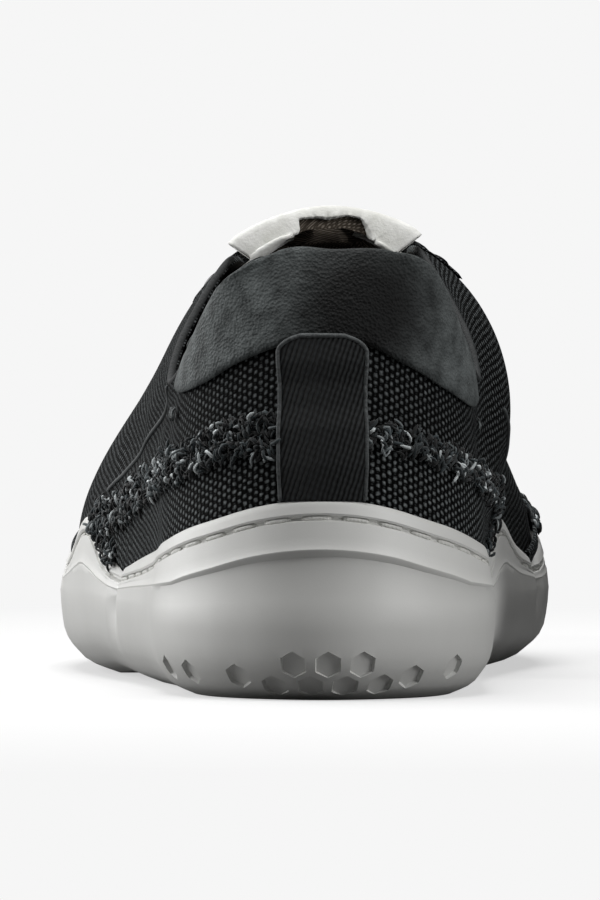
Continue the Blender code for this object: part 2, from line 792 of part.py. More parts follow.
# Facing: canvas band round the throat that carries the eyelets
def make_facing():
    start = turn(FACING_START)
    columns = columns_between(start, 2 - start)
    low = [row_below_top(c, FACING_WIDTH) for c in columns]
    high = [float(TOP_ROW)] * len(columns)
    bm, _ = loft(over_facets(columns, low, high, PANEL_CLEAR), closed=False)
    facing = place("facing", merged(bm), CANVAS)
    thicken(facing, FACING_THICK, 1)
    return facing


# Eyelets: small enamelled rings on the facing
def eyelet_spot(along, side, off):
    """The place off the facing of an eyelet, and the way out from the upper there."""
    at = column(side * turn(along))
    row = row_below_top(at, EYELET_INSET)
    centre = spot(at, row, off)
    return centre, centre - spot(at, row, 0.0)


def make_eyelets():
    for side, word in ((-1, "lateral"), (1, "medial")):
        for number, along in enumerate(EYELETS):
            centre, out = eyelet_spot(along, side, PANEL_CLEAR + 2 * CLEAR + FACING_THICK + EYELET_WIRE)
            bpy.ops.mesh.primitive_torus_add(
                location=centre,
                rotation=Vector(out).to_track_quat("Z", "Y").to_euler(),
                major_segments=8,
                minor_segments=4,
                major_radius=EYELET_OUTER - EYELET_WIRE,
                minor_radius=EYELET_WIRE,
            )
            ring = bpy.context.object
            ring.name = f"eyelet_{word}_{number + 1}"
            ring.data.materials.append(METAL)
            ring.data.shade_smooth()
            for group in list(ring.users_collection):
                group.objects.unlink(ring)
            shoe.objects.link(ring)


def bridge(at, share, off, crown):
    """A point on the arch that spans the throat between the two sides."""
    left = spot(2 * UPPER_HALF - at, TOP_ROW, off)
    right = spot(at, TOP_ROW, off)
    middle = left + (right - left) * share
    middle[2] += crown * 4 * share * (1 - share)
    return middle


# Tongue: padded leather sheet under the facing, higher than it at the top
def make_tongue():
    collar_end, toe_end = TONGUE_ENDS
    stations = columns_between(turn(collar_end), turn(toe_end))[::-1]
    under = -(UPPER_WALL + TONGUE_CLEAR)
    way = np.linspace(0, 1, len(stations))
    crown = np.interp(way, (0, 0.3, 1), (0.0005, 0.5 * TONGUE_CROWN, TONGUE_CROWN))
    wings = (0.0075, 0.0024)
    shares = np.linspace(0.16, 0.84, 5)
    rings = []
    for at, rise in zip(stations, crown):
        other = 2 * UPPER_HALF - at
        ring = [spot(other, row_below_top(other, w), under) for w in wings]
        ring += [bridge(at, share, under, rise) for share in shares]
        ring += [spot(at, row_below_top(at, w), under) for w in reversed(wings)]
        rings.append(ring)
    count = len(rings[0])
    arch = np.sin(np.linspace(0, math.pi, count)) ** 0.7
    for share, inset, corner in ((0.3, 0.13, 0.0), (1.0, 0.03, TONGUE_CORNER)):
        raised = []
        for k, across_it in enumerate(np.linspace(inset, 1 - inset, count)):
            point = bridge(stations[-1], across_it, under, 0.0)
            point[2] += (TONGUE_CROWN + TONGUE_RISE * share - corner) * arch[k] + corner
            point[1] -= TONGUE_LEAN * share * (0.4 + 0.6 * arch[k])
            raised.append(point)
        rings.append(raised)
    bm, _ = loft(rings, closed=False)
    bmesh.ops.reverse_faces(bm, faces=bm.faces[:])
    tongue = place("tongue", bm, SUEDE)
    thicken(tongue, TONGUE_THICK, -1)
    return tongue


# Lace: flat crossings over the tongue, joined where they cross
def lace_strip(bm, start, end, crown):
    """One flat strip from eyelet to eyelet, arched over the tongue."""
    steps = 4
    a, b = Vector(start), Vector(end)
    run = (b - a).normalized()
    wide = run.cross(Vector((0, 0, 1))).normalized() * (LACE_WIDTH / 2)
    rings = []
    for step in range(steps + 1):
        share = step / steps
        middle = a.lerp(b, share)
        middle.z += crown * 4 * share * (1 - share)
        up = Vector((0, 0, LACE_THICK / 2))
        rings.append([middle + wide + up, middle - wide + up, middle - wide - up, middle + wide - up])
    rows = [[bm.verts.new(p) for p in ring] for ring in rings]
    for low, high in zip(rows, rows[1:]):
        for i in range(4):
            j = (i + 1) % 4
            bm.faces.new((low[i], high[i], high[j], low[j]))
    bm.faces.new(rows[0])
    bm.faces.new(rows[-1][::-1])


def make_lace():
    above = 5 * CLEAR + FACING_THICK + LACE_THICK
    spots = {}
    for side in (-1, 1):
        spots[side] = [Vector(spot(column(side * turn(a)), TOP_ROW, above)) for a in EYELETS]
    strips = [(spots[-1][-1], spots[1][-1])]
    for number in range(len(EYELETS) - 1):
        strips.append((spots[-1][number + 1], spots[1][number]))
        strips.append((spots[1][number + 1], spots[-1][number]))
    first = None
    for k, (start, end) in enumerate(strips):
        bm = bmesh.new()
        lace_strip(bm, start, end, TONGUE_CROWN + 0.00035 * (k % 2))
        bmesh.ops.recalc_face_normals(bm, faces=bm.faces[:])
        if first is None:
            first = place("lace", bm, COTTON, smooth=False)
            continue
        tool = place(f"lace_strip_{k}", bm, COTTON, smooth=False, group=cutters)
        tool.hide_render = True
        tool.display_type = "WIRE"
        join = first.modifiers.new(f"join_{k}", "BOOLEAN")
        join.operation = "UNION"
        join.solver = "EXACT"
        join.object = tool
    return first


cut_pits(make_outsole())
make_insole()
make_upper()
make_tongue()
make_heel_panel()
make_toe_panel()
make_heel_tab()
make_heel_tape()
make_facing()
make_eyelets()
make_lace()
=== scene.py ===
import math

import bmesh
import bpy
import numpy as np
from mathutils import Matrix, Vector


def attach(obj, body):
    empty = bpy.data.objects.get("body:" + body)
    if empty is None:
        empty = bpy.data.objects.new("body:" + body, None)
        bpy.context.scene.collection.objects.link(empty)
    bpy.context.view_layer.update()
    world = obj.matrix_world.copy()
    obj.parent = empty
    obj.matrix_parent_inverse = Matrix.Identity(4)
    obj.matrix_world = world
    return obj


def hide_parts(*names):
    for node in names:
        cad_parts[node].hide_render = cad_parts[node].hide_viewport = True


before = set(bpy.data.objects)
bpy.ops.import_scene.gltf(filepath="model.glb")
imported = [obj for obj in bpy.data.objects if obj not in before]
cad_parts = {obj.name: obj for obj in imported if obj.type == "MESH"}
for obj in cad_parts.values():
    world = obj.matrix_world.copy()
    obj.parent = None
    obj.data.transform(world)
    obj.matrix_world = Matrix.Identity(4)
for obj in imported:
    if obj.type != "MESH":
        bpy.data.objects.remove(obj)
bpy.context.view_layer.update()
bpy.ops.object.select_all(action="DESELECT")


# Camera: straight behind the heel, 2 m away and at the height of the collar, as in the photograph. Only
# the lens is longer, so that the shoe fills the frame.
CAMERA_PLACE = Vector((0.0, -2.040, 0.085))
CAMERA_AIM = Vector((-0.0045, 0.0, 0.0485))
LENS = 410


def new_object(name, data):
    """Puts a camera, lamp or mesh in the scene."""
    made = bpy.data.objects.new(name, data)
    bpy.context.scene.collection.objects.link(made)
    return made


def aimed(place, aim):
    """The turn that points a camera or lamp at its aim."""
    return (Vector(aim) - Vector(place)).to_track_quat("-Z", "Y").to_euler()


view = bpy.data.cameras.new("view")
view.lens = LENS
view.sensor_width = 36
view.clip_start = 0.05
view.clip_end = 60
camera = new_object("view", view)
camera.location = CAMERA_PLACE
camera.rotation_euler = aimed(CAMERA_PLACE, CAMERA_AIM)
bpy.context.scene.camera = camera
bpy.context.scene.view_settings.view_transform = "Standard"


# Studio: a pale floor that runs into a pale backdrop, a bright softbox on the left, a weaker one on the
# right and a wide panel overhead. Little light comes from the camera's side, and a low black flag of gauze
# keeps the right softbox off the inner side of the sole.
PAPER = "f6f6f6"
AMBIENT = (0.01, 0.01, 0.0102, 1.0)
FLOOR_MATT = (0.34, 0.34, 0.34, 1.0)
FLOOR_GLOW = (0.56, 0.56, 0.56, 1.0)
FLOOR_BOUNCE = (0.16, 0.16, 0.16, 1.0)
FLOOR_CENTRE = (0.0, 0.10, 0.0)
FLOOR_FADE = (0.20, 0.42)
SOFTBOXES = (
    # name, place, aim, width, height, watts
    ("left_softbox", (-1.24, 0.50, 0.50), (0.0, 0.05, 0.03), 1.8, 1.1, 21.5),
    ("right_softbox", (1.18, -0.42, 0.50), (0.0, 0.0, 0.03), 0.50, 0.80, 8.0),
    ("overhead_panel", (-0.10, 0.03, 1.6), (-0.05, 0.03, 0.0), 2.2, 1.0, 32.0),
)
FLAG = ((0.088, 0.055), (0.088, 0.300), 0.056)
FLAG_SHADE = 0.85
FLAG_FOOT = 0.002


def web_colour(code):
    """A web colour as the linear numbers that a shader takes."""
    channels = [int(code[i : i + 2], 16) / 255 for i in (0, 2, 4)]
    return [c / 12.92 if c < 0.04045 else ((c + 0.055) / 1.055) ** 2.4 for c in channels] + [1.0]


def plug(made, inputs):
    """Fills a node's inputs, each with a value, a socket, or the first thing that another node gives out."""
    for key, value in inputs.items():
        if isinstance(value, bpy.types.Node):
            value = next(socket for socket in value.outputs if socket.enabled)
        if isinstance(value, bpy.types.NodeSocket):
            made.id_data.links.new(value, made.inputs[key])
        else:
            made.inputs[key].default_value = value


def node(tree, kind, inputs=(), **settings):
    """Adds a shader node with its settings by name and its inputs as plug takes them."""
    made = tree.nodes.new("ShaderNode" + kind)
    for name, value in settings.items():
        setattr(made, name, value)
    plug(made, dict(inputs))
    return made


def new_material(name):
    """A material, its node tree and its Principled shader."""
    made = bpy.data.materials.new(name)
    made.use_nodes = True
    return made, made.node_tree, made.node_tree.nodes["Principled BSDF"]


for name, place, aim, width, height, watts in SOFTBOXES:
    box = bpy.data.lights.new(name, "AREA")
    box.shape = "RECTANGLE"
    box.size = width
    box.size_y = height
    box.energy = watts
    lamp = new_object(name, box)
    lamp.location = place
    lamp.visible_camera = False
    lamp.rotation_euler = aimed(place, aim)

world = bpy.data.worlds.new("studio")
bpy.context.scene.world = world
world.use_nodes = True
tree = world.node_tree
tree.nodes.clear()
seen = node(tree, "LightPath").outputs["Is Camera Ray"]
paper = node(tree, "Background", {"Color": web_colour(PAPER)})
dim = node(tree, "Background", {"Color": AMBIENT})
mixed = node(tree, "MixShader", {0: seen, 1: dim, 2: paper})
node(tree, "OutputWorld", {"Surface": mixed})

bpy.ops.mesh.primitive_plane_add(size=40, location=(0, 0, 0))
floor = bpy.context.object
floor.name = "floor"
paper_floor, tree, shader = new_material("paper_floor")
floor.data.materials.append(paper_floor)
tree.nodes.clear()
spot = node(tree, "TexCoord").outputs["Object"]
centred = node(tree, "VectorMath", {0: spot, 1: FLOOR_CENTRE}, operation="SUBTRACT")
away = node(tree, "VectorMath", {0: centred}, operation="LENGTH")
fade = node(tree, "MapRange", {"Value": away, "From Min": FLOOR_FADE[0], "From Max": FLOOR_FADE[1]})
matt = node(tree, "BsdfDiffuse", {"Color": FLOOR_MATT})
glow = node(tree, "Emission", {"Color": FLOOR_GLOW})
near = node(tree, "AddShader", {0: matt, 1: glow})
far = node(tree, "Emission", {"Color": web_colour(PAPER)})
shown = node(tree, "MixShader", {0: fade, 1: near, 2: far})
seen = node(tree, "LightPath").outputs["Is Camera Ray"]
bounce = node(tree, "BsdfDiffuse", {"Color": FLOOR_BOUNCE})
mixed = node(tree, "MixShader", {0: seen, 1: bounce, 2: shown})
node(tree, "OutputMaterial", {"Surface": mixed})

(x0, y0), (x1, y1), high = FLAG
corners = [(x0, y0, FLAG_FOOT), (x1, y1, FLAG_FOOT), (x1, y1, high), (x0, y0, high)]
card = bpy.data.meshes.new("flag")
card.from_pydata(corners, [], [(0, 1, 2, 3)])
flag = new_object("flag", card)
flag.visible_camera = False
black_gauze, tree, shader = new_material("black_gauze")
card.materials.append(black_gauze)
tree.nodes.clear()
holes = node(tree, "BsdfTransparent")
threads = node(tree, "BsdfDiffuse", {"Color": (0.02, 0.02, 0.02, 1.0)})
mixed = node(tree, "MixShader", {0: FLAG_SHADE, 1: holes, 2: threads})
node(tree, "OutputMaterial", {"Surface": mixed})


# Outsole: one cup of light grey rubber, moulded in one piece. Its top edge rises in three lobes a side,
# with a lip, a stitching channel under it and a crease lower down, and its tread is a honeycomb of pits.
SHOE_LENGTH = 0.283
BALL_WIDTH = 0.104
HEEL_REST = 0.040
SOLE_EDGE = 0.0395
BULGE_HEIGHT = 0.0165
ROLL_UNDER = 0.0088
CREASE_INSET = 0.0004
RIM_INSET = 0.0018
CUP_WALL = 0.0034
FOOTBED = 0.0060
TOE_SPRING = 0.0065
ARCH_RISE = 0.0012
CHANNEL_BELOW = 0.0036
CHANNEL_WIDTH = 0.0011
CHANNEL_DEPTH = 0.0010
BEVEL_BELOW = 0.0096
VALLEY_DEPTH = 0.0016
VALLEY_WIDTH = 0.0050
BEVEL_SHARE = 0.60
CHANNEL_SHARE = 0.36
HEEL_HOLLOW = 0.0010
HOLLOW_REACH = 0.22
LATERAL_NOTCHES = (0.357, 0.602)
MEDIAL_NOTCHES = (0.330, 0.602)
OUTLINE = (
    # along, lateral, medial, lateral_roll, medial_roll
    (0.018, 0.144, 0.144, 1.00, 1.00),
    (0.042, 0.221, 0.221, 1.00, 1.00),
    (0.078, 0.284, 0.284, 1.00, 1.00),
    (0.124, 0.322, 0.322, 1.00, 1.00),
    (0.212, 0.342, 0.334, 1.00, 1.00),
    (0.318, 0.394, 0.336, 1.05, 1.10),
    (0.424, 0.461, 0.358, 1.10, 1.25),
    (0.530, 0.515, 0.404, 1.20, 1.45),
    (0.618, 0.535, 0.452, 1.25, 1.60),
    (0.700, 0.524, 0.466, 1.25, 1.60),
    (0.777, 0.486, 0.452, 1.20, 1.45),
    (0.850, 0.415, 0.414, 1.15, 1.25),
    (0.915, 0.314, 0.348, 1.10, 1.10),
    (0.965, 0.195, 0.248, 1.00, 1.00),
)
HEEL_CENTRE = 0.0
TOE_CENTRE = 0.048
HEEL_LOBE = (
    (0.0, 1.0), (0.05, 0.957), (0.10, 0.909), (0.19, 0.851), (0.32, 0.785), (0.58, 0.716), (0.80, 0.653),
    (1.0, 0.578),
)
SIDE_LOBE = ((0.0, 0.578), (0.20, 0.680), (0.44, 0.835), (0.50, 0.835), (0.75, 0.690), (1.0, 0.580))
TOE_LOBE = ((0.0, 0.580), (0.15, 0.640), (0.36, 0.710), (0.60, 0.810), (0.85, 0.850), (1.0, 0.840))
LOWER_WALL = ((0.0, 1.0), (0.09, 0.61), (0.24, 0.33), (0.40, 0.14), (0.66, 0.04), (1.0, 0.0))
SOLE_COLUMNS = 1120
CROWD_WIDTH = 0.0045
PAINTED_SHADE_TOP_RING = 16
PIT_WIDTH = 0.0052
PIT_DEPTH = 0.0009
PIT_DRAFT = 0.0007
PIT_PITCH = 0.00685
PIT_SHIFT = (0.15, 0.003)
PIT_MARGIN = 0.62
HEEL_PITS = (
    # side, height of the pits that show up the heel's rolled edge, in millimetres
    (-5.8, 7.0), (1.05, 7.0), (7.9, 7.0), (-9.3, 2.6), (-2.4, 2.6), (4.4, 2.6), (11.3, 2.8), (-16.6, 4.6),
    (17.5, 4.4), (-26.0, 5.0), (-30.4, 5.4), (25.8, 6.0),
)


def curve_through(keys, values, loop=None):
    """A smooth curve through the rows of a table, closed when loop gives the length of one turn."""
    x = np.array(keys, dtype=float)
    y = np.array(values, dtype=float)
    if loop:
        x = np.concatenate((x[-2:] - loop, x, x[:2] + loop))
        y = np.concatenate((y[-2:], y, y[:2]))
    rise = np.diff(y) / np.diff(x)
    step = np.diff(x)
    slope = np.empty_like(y)
    slope[1:-1] = (rise[:-1] * step[1:] + rise[1:] * step[:-1]) / (step[:-1] + step[1:])
    slope[0] = rise[0]
    slope[-1] = rise[-1]

    def read(at):
        at = np.clip(np.asarray(at, dtype=float), x[0], x[-1])
        i = np.clip(np.searchsorted(x, at) - 1, 0, len(x) - 2)
        h = x[i + 1] - x[i]
        t = (at - x[i]) / h
        return (
            (2 * t**3 - 3 * t**2 + 1) * y[i]
            + (t**3 - 2 * t**2 + t) * h * slope[i]
            + (3 * t**2 - 2 * t**3) * y[i + 1]
            + (t**3 - t**2) * h * slope[i + 1]
        )

    return read


def turn(along):
    """Place round the shoe, 0 at the heel's back and 1 at the toe's tip, of a share of the length."""
    return np.arccos(np.clip(1 - 2 * np.asarray(along, dtype=float), -1, 1)) / math.pi


def along_of(turns):
    """Share of the length at a place round the shoe."""
    return (1 - np.cos(math.pi * np.asarray(turns, dtype=float))) / 2


def ring_curve(lateral, medial, heel, toe):
    """A closed curve round the shoe: turns run from -1 at the toe by the lateral side to 1."""
    keys = [-turn(a) for a, _ in reversed(lateral)] + [0.0] + [turn(a) for a, _ in medial] + [1.0]
    values = [v for _, v in reversed(lateral)] + [heel] + [v for _, v in medial] + [toe]
    return curve_through(keys, values, loop=2.0)


outline_side = ring_curve(
    [(r[0], -r[1]) for r in OUTLINE], [(r[0], r[2]) for r in OUTLINE], HEEL_CENTRE, TOE_CENTRE
)
roll_share = ring_curve([(r[0], r[3]) for r in OUTLINE], [(r[0], r[4]) for r in OUTLINE], 1.0, 1.0)


def outline(turns, inset=0.0):
    """The sole's widest line in plan, moved inwards by the inset."""
    turns = np.asarray(turns, dtype=float)

    def place(t):
        return BALL_WIDTH * outline_side((t + 1) % 2 - 1), SHOE_LENGTH * along_of(t) - HEEL_REST

    step = 1e-3
    x, y = place(turns)
    x1, y1 = place(turns + step)
    x0, y0 = place(turns - step)
    run = np.hypot(x1 - x0, y1 - y0)
    return x - inset * (y1 - y0) / run, y + inset * (x1 - x0) / run


def lift(y):
    """Rise of the sole's underside at the waist and under the toes."""
    share = (np.asarray(y, dtype=float) + HEEL_REST) / SHOE_LENGTH
    spring = np.clip((share - 0.765) / 0.235, 0, 1) ** 2
    waist = np.clip(1 - np.abs(share - 0.425) / 0.095, 0, 1)
    return TOE_SPRING * spring + ARCH_RISE * waist * waist * (3 - 2 * waist)


heel_lobe = curve_through(*zip(*HEEL_LOBE))
side_lobe = curve_through(*zip(*SIDE_LOBE))
toe_lobe = curve_through(*zip(*TOE_LOBE))
lower_wall = curve_through(*zip(*LOWER_WALL))


def notches(turns):
    """The two notches on the side that each place lies on."""
    on_medial = np.asarray(turns) > 0
    return tuple(np.where(on_medial, m, n) for n, m in zip(LATERAL_NOTCHES, MEDIAL_NOTCHES))


def edge_height(turns):
    """Height of the sole's scalloped top edge."""
    along = along_of(turns)
    first, second = notches(turns)
    heel = heel_lobe(along / first)
    side = side_lobe((along - first) / (second - first))
    toe = toe_lobe((along - second) / (1 - second))
    return SOLE_EDGE * np.where(along < first, heel, np.where(along < second, side, toe))


def valley(turns, width=VALLEY_WIDTH):
    """1 on the crease that runs down from each notch, falling to 0 beside it."""
    along = along_of(turns) * SHOE_LENGTH
    near = np.minimum(*[np.abs(along - n * SHOE_LENGTH) for n in notches(turns)])
    return np.clip(1 - near / width, 0, 1)


def sole_ring(turns, height, inset):
    """One ring of the sole, raised with the underside near the floor."""
    x, y = outline(turns, inset)
    top = edge_height(turns)
    return np.stack((x, y, height + lift(y) * (1 - height / top)), axis=-1)


def lower_inset(turns, share):
    """How far the wall under the bulge rolls in, at a share of the bulge's height."""
    return ROLL_UNDER * roll_share(turns) * lower_wall(share)


def rim_inset(below, bevel):
    """How far the band over the bevel leans in, at a distance below the top edge."""
    return CREASE_INSET + (RIM_INSET - CREASE_INSET) * np.clip(1 - below / bevel, 0, 1)


def wall_bands(turns):
    """The top edge, the wall's run over the bulge, and how far the bevel and channel lie below the edge."""
    top = edge_height(turns)
    run = top - BULGE_HEIGHT
    bevel = np.minimum(BEVEL_BELOW, BEVEL_SHARE * run)
    return top, run, bevel, np.minimum(CHANNEL_BELOW, CHANNEL_SHARE * run)


def sole_profile(turns):
    """Height and inset of each ring, from the tread up the outside, over the lip and into the cup."""
    top, run, bevel, channel = wall_bands(turns)
    crease = VALLEY_DEPTH * valley(turns)
    rings = []
    for share in (0, 0.02, 0.05, 0.09, 0.15, 0.24, 0.32, 0.40, 0.52, 0.66, 0.82, 1.0):
        inset = lower_inset(turns, share) + crease * share * share
        rings.append((BULGE_HEIGHT * share + 0 * top, inset))
    face = run - bevel
    brow = np.clip(1.25 - np.abs(turns) / HOLLOW_REACH, 0, 1)
    for share in (0.25, 0.5, 0.72, 0.88):
        hollow = HEEL_HOLLOW * brow * math.sin(math.pi * share * 0.62)
        rings.append((BULGE_HEIGHT + face * share, CREASE_INSET * share + crease * 0.8 + hollow))
    half = CHANNEL_WIDTH / 2
    for below, extra in (
        (bevel + 0.0005, 0.0001),
        (bevel + 0.0001, 0.0),
        (bevel - 0.0003, 0.0001),
        (bevel - 0.0009, 0.0002),
        (bevel * 0.6 + channel * 0.4, 0.0002),
        (channel + half + 0.0005, 0.0001),
        (channel + half, 0.0001),
        (channel + half * 0.8, CHANNEL_DEPTH * 0.7),
        (channel + half * 0.3, CHANNEL_DEPTH),
        (channel - half * 0.3, CHANNEL_DEPTH),
        (channel - half * 0.8, CHANNEL_DEPTH * 0.7),
        (channel - half, 0.0001),
        (channel - half - 0.0004, -0.0001),
        (0.0014, 0.0),
        (0.0006, 0.00008),
        (0.0002, 0.0003),
        (0.0, 0.0006),
    ):
        rings.append((top - below, rim_inset(below, bevel) + extra + crease * 0.6))
    rings.append((top - 0.00005, CUP_WALL - 0.0005 + 0 * top))
    rings.append((top - 0.0004, CUP_WALL + 0 * top))
    rings.append((FOOTBED + 0 * top, CUP_WALL + 0 * top))
    return rings


def sheet_mesh(name, points, threads=None, closed=False):
    """An object with a face between each two neighbours of a table of points, and its thread coordinates."""
    rows, columns = points.shape[:2]
    used = columns - 1 if closed else columns
    low = np.arange(rows - 1)[:, None] * used
    here = np.arange(columns - 1)[None, :]
    there = (here + 1) % used
    faces = np.stack((low + here, low + there, low + used + there, low + used + here), axis=-1).reshape(-1, 4)
    mesh = bpy.data.meshes.new(name)
    mesh.from_pydata(points[:, :used].reshape(-1, 3).tolist(), [], faces.tolist())
    if threads is not None:
        corners = (threads[:-1, :-1], threads[:-1, 1:], threads[1:, 1:], threads[1:, :-1])
        layer = mesh.uv_layers.new(name="threads")
        layer.data.foreach_set("uv", np.stack(corners, axis=2).astype(np.float32).ravel())
    mesh.shade_smooth()
    return new_object(name, mesh)


def close_across(thing, first, count, upward):
    """Fills a ring of the mesh with strips that run straight across the shoe."""
    bm = bmesh.new()
    bm.from_mesh(thing.data)
    bm.verts.ensure_lookup_table()
    for i in range(count // 2):
        j = count - i
        strip = []
        for k in (i, i + 1, j - 1, j % count):
            if first + k not in strip:
                strip.append(first + k)
        strip = [bm.verts[k] for k in strip]
        bm.faces.new(strip if upward else strip[::-1])
    bm.to_mesh(thing.data)
    bm.free()


def crowded_places(count):
    """Places round the ring that crowd together at the notches."""
    fine = np.linspace(0, 1, 4001)
    weight = np.ones_like(fine)
    for notch in set(LATERAL_NOTCHES + MEDIAL_NOTCHES):
        weight += 2.0 * np.exp(-(((along_of(fine) - notch) * SHOE_LENGTH / CROWD_WIDTH) ** 2))
    run = np.concatenate(([0], np.cumsum((weight[1:] + weight[:-1]) / 2)))
    places = np.interp(np.linspace(0, run[-1], count // 2 + 1), run, fine)
    return np.concatenate((-places[::-1], places[1:]))


turns = crowded_places(SOLE_COLUMNS)
rings = np.array([sole_ring(turns, height, inset) for height, inset in sole_profile(turns)])
outsole = sheet_mesh("moulded_outsole", rings, closed=True)
# Marks the rings over the crease; the rubber gives the wall below them painted shade.
band = outsole.data.attributes.new("band", "FLOAT", "POINT")
band.data.foreach_set("value", np.repeat(np.arange(len(rings)) > PAINTED_SHADE_TOP_RING, SOLE_COLUMNS).astype(np.float32))
close_across(outsole, 0, SOLE_COLUMNS, upward=False)
close_across(outsole, (len(rings) - 1) * SOLE_COLUMNS, SOLE_COLUMNS, upward=True)


def pit_frames():
    """Where each pit goes: its centre and the way out of the rubber there."""
    frames = []
    fine = np.linspace(-0.4, 0.4, 1601)
    for side, height in HEEL_PITS:
        share = height / 1000 / BULGE_HEIGHT
        ring = sole_ring(fine, BULGE_HEIGHT * share, lower_inset(fine, share))
        k = int(np.argmin(np.abs(ring[:, 0] - side / 1000)))
        above = sole_ring(fine, BULGE_HEIGHT * (share + 0.05), lower_inset(fine, share + 0.05))
        out = Vector(np.cross(ring[k + 1] - ring[k - 1], above[k] - ring[k])).normalized()
        frames.append((Vector(ring[k]), out))
    whole = np.linspace(-1, 1, 721)
    edge = sole_ring(whole, 0.0, lower_inset(whole, 0.0))
    for row in range(-4, 42):
        for step in range(-9, 9):
            x = (step + 0.5 * (row % 2) + PIT_SHIFT[0]) * PIT_PITCH
            y = row * PIT_PITCH * math.sqrt(3) / 2 + PIT_SHIFT[1]
            near = np.hypot(edge[:, 0] - x, edge[:, 1] - y)
            k = int(np.argmin(near))
            along = edge[min(k + 1, len(edge) - 1)] - edge[max(k - 1, 0)]
            inside = along[0] * (y - edge[k, 1]) - along[1] * (x - edge[k, 0]) > 0
            if inside and near[k] > PIT_WIDTH * PIT_MARGIN:
                slope = (lift(y + 0.001) - lift(y - 0.001)) / 0.002
                out = Vector((0, float(slope), -1)).normalized()
                frames.append((Vector((x, y, float(lift(y)))), out))
    return frames


bm = bmesh.new()
for centre, out in pit_frames():
    sideways = Vector((0, 0, 1)).cross(out)
    sideways = sideways.normalized() if sideways.length > 0.3 else Vector((1, 0, 0))
    upright = out.cross(sideways).normalized()
    turned = Matrix((sideways, upright, out)).transposed().to_4x4()
    turned.translation = centre
    bmesh.ops.create_cone(
        bm,
        cap_ends=True,
        segments=6,
        radius1=(PIT_WIDTH - PIT_DRAFT) / math.sqrt(3),
        radius2=(PIT_WIDTH + PIT_DRAFT) / math.sqrt(3),
        depth=2 * PIT_DEPTH,
        matrix=turned,
    )
pits = bpy.data.meshes.new("pits")
bm.to_mesh(pits)
bm.free()
pit_tool = new_object("pits", pits)
cut = outsole.modifiers.new("pits", "BOOLEAN")
cut.operation = "DIFFERENCE"
cut.solver = "EXACT"
cut.object = pit_tool
bpy.context.view_layer.objects.active = outsole
bpy.ops.object.modifier_apply(modifier="pits")
bpy.data.objects.remove(pit_tool)
outsole.data.shade_smooth()
bpy.ops.object.select_all(action="DESELECT")
outsole.select_set(True)
bpy.ops.object.shade_smooth_by_angle(angle=math.radians(32))
outsole.select_set(False)


def unit(ways):
    """The same directions, each of length 1."""
    return ways / (np.linalg.norm(ways, axis=-1, keepdims=True) + 1e-12)


def yarn_mesh(name, lines, radius, sides=5, tones=None, taper=0.25):
    """One mesh of many yarns, each a closed tube along its own line. All lines have as many points."""
    lines = np.asarray(lines, dtype=float)
    count, steps = lines.shape[:2]
    radius = np.broadcast_to(np.asarray(radius, dtype=float), (count,))
    along = unit(np.gradient(lines, axis=1))
    seed = np.where(np.abs(along[:, 0, 2:3]) < 0.8, [[0.0, 0.0, 1.0]], [[1.0, 0.0, 0.0]])
    side = np.cross(along[:, 0], seed)
    rings = np.empty((count, steps, sides, 3))
    angles = np.linspace(0, 2 * math.pi, sides, endpoint=False)
    for k in range(steps):
        side = unit(side - np.sum(side * along[:, k], axis=1, keepdims=True) * along[:, k])
        other = np.cross(along[:, k], side)
        thin = taper if k in (0, steps - 1) else 1.0
        swing = side[:, None] * np.cos(angles)[None, :, None] + other[:, None] * np.sin(angles)[None, :, None]
        rings[:, k] = lines[:, k, None] + swing * (radius * thin)[:, None, None]
    first = (np.arange(count) * steps * sides)[:, None, None]
    ring = (np.arange(steps - 1) * sides)[None, :, None]
    here = np.arange(sides)[None, None, :]
    there = (here + 1) % sides
    low, high = first + ring, first + ring + sides
    faces = np.stack((low + here, low + there, high + there, high + here), axis=-1).reshape(-1, 4).tolist()
    for k in range(count):
        start = k * steps * sides
        faces.append([start + i for i in reversed(range(sides))])
        faces.append([start + (steps - 1) * sides + i for i in range(sides)])
    mesh = bpy.data.meshes.new(name)
    mesh.from_pydata(rings.reshape(-1, 3).tolist(), [], faces)
    if tones is not None:
        layer = mesh.attributes.new("tone", "FLOAT", "POINT")
        layer.data.foreach_set("value", np.repeat(np.asarray(tones, dtype=np.float32), steps * sides))
    mesh.shade_smooth()
    return new_object(name, mesh)


def run_along(points, axis):
    """Length run so far from the first point to each point along an axis of a table."""
    step = np.linalg.norm(np.diff(points, axis=axis), axis=-1)
    first = np.zeros_like(np.take(step, [0], axis=axis))
    return np.cumsum(np.concatenate((first, step), axis=axis), axis=axis)


def read_line(at, run, line):
    """The points of a line at lengths along its run."""
    return np.stack([np.interp(at, run, values) for values in line.T], axis=-1)


def channel_spot(turns):
    """The middle of the stitching channel, a little above its floor."""
    top, run, bevel, channel = wall_bands(turns)
    inset = rim_inset(channel, bevel) + CHANNEL_DEPTH * 0.62 + VALLEY_DEPTH * valley(turns) * 0.6
    return sole_ring(turns, top - channel, inset)


STITCH_LENGTH = 0.0062
STITCH_GAP = 0.0017
STITCH_YARN = 0.00042
STITCH_SINK = 0.0005
STITCH_MISSES = 0.0022

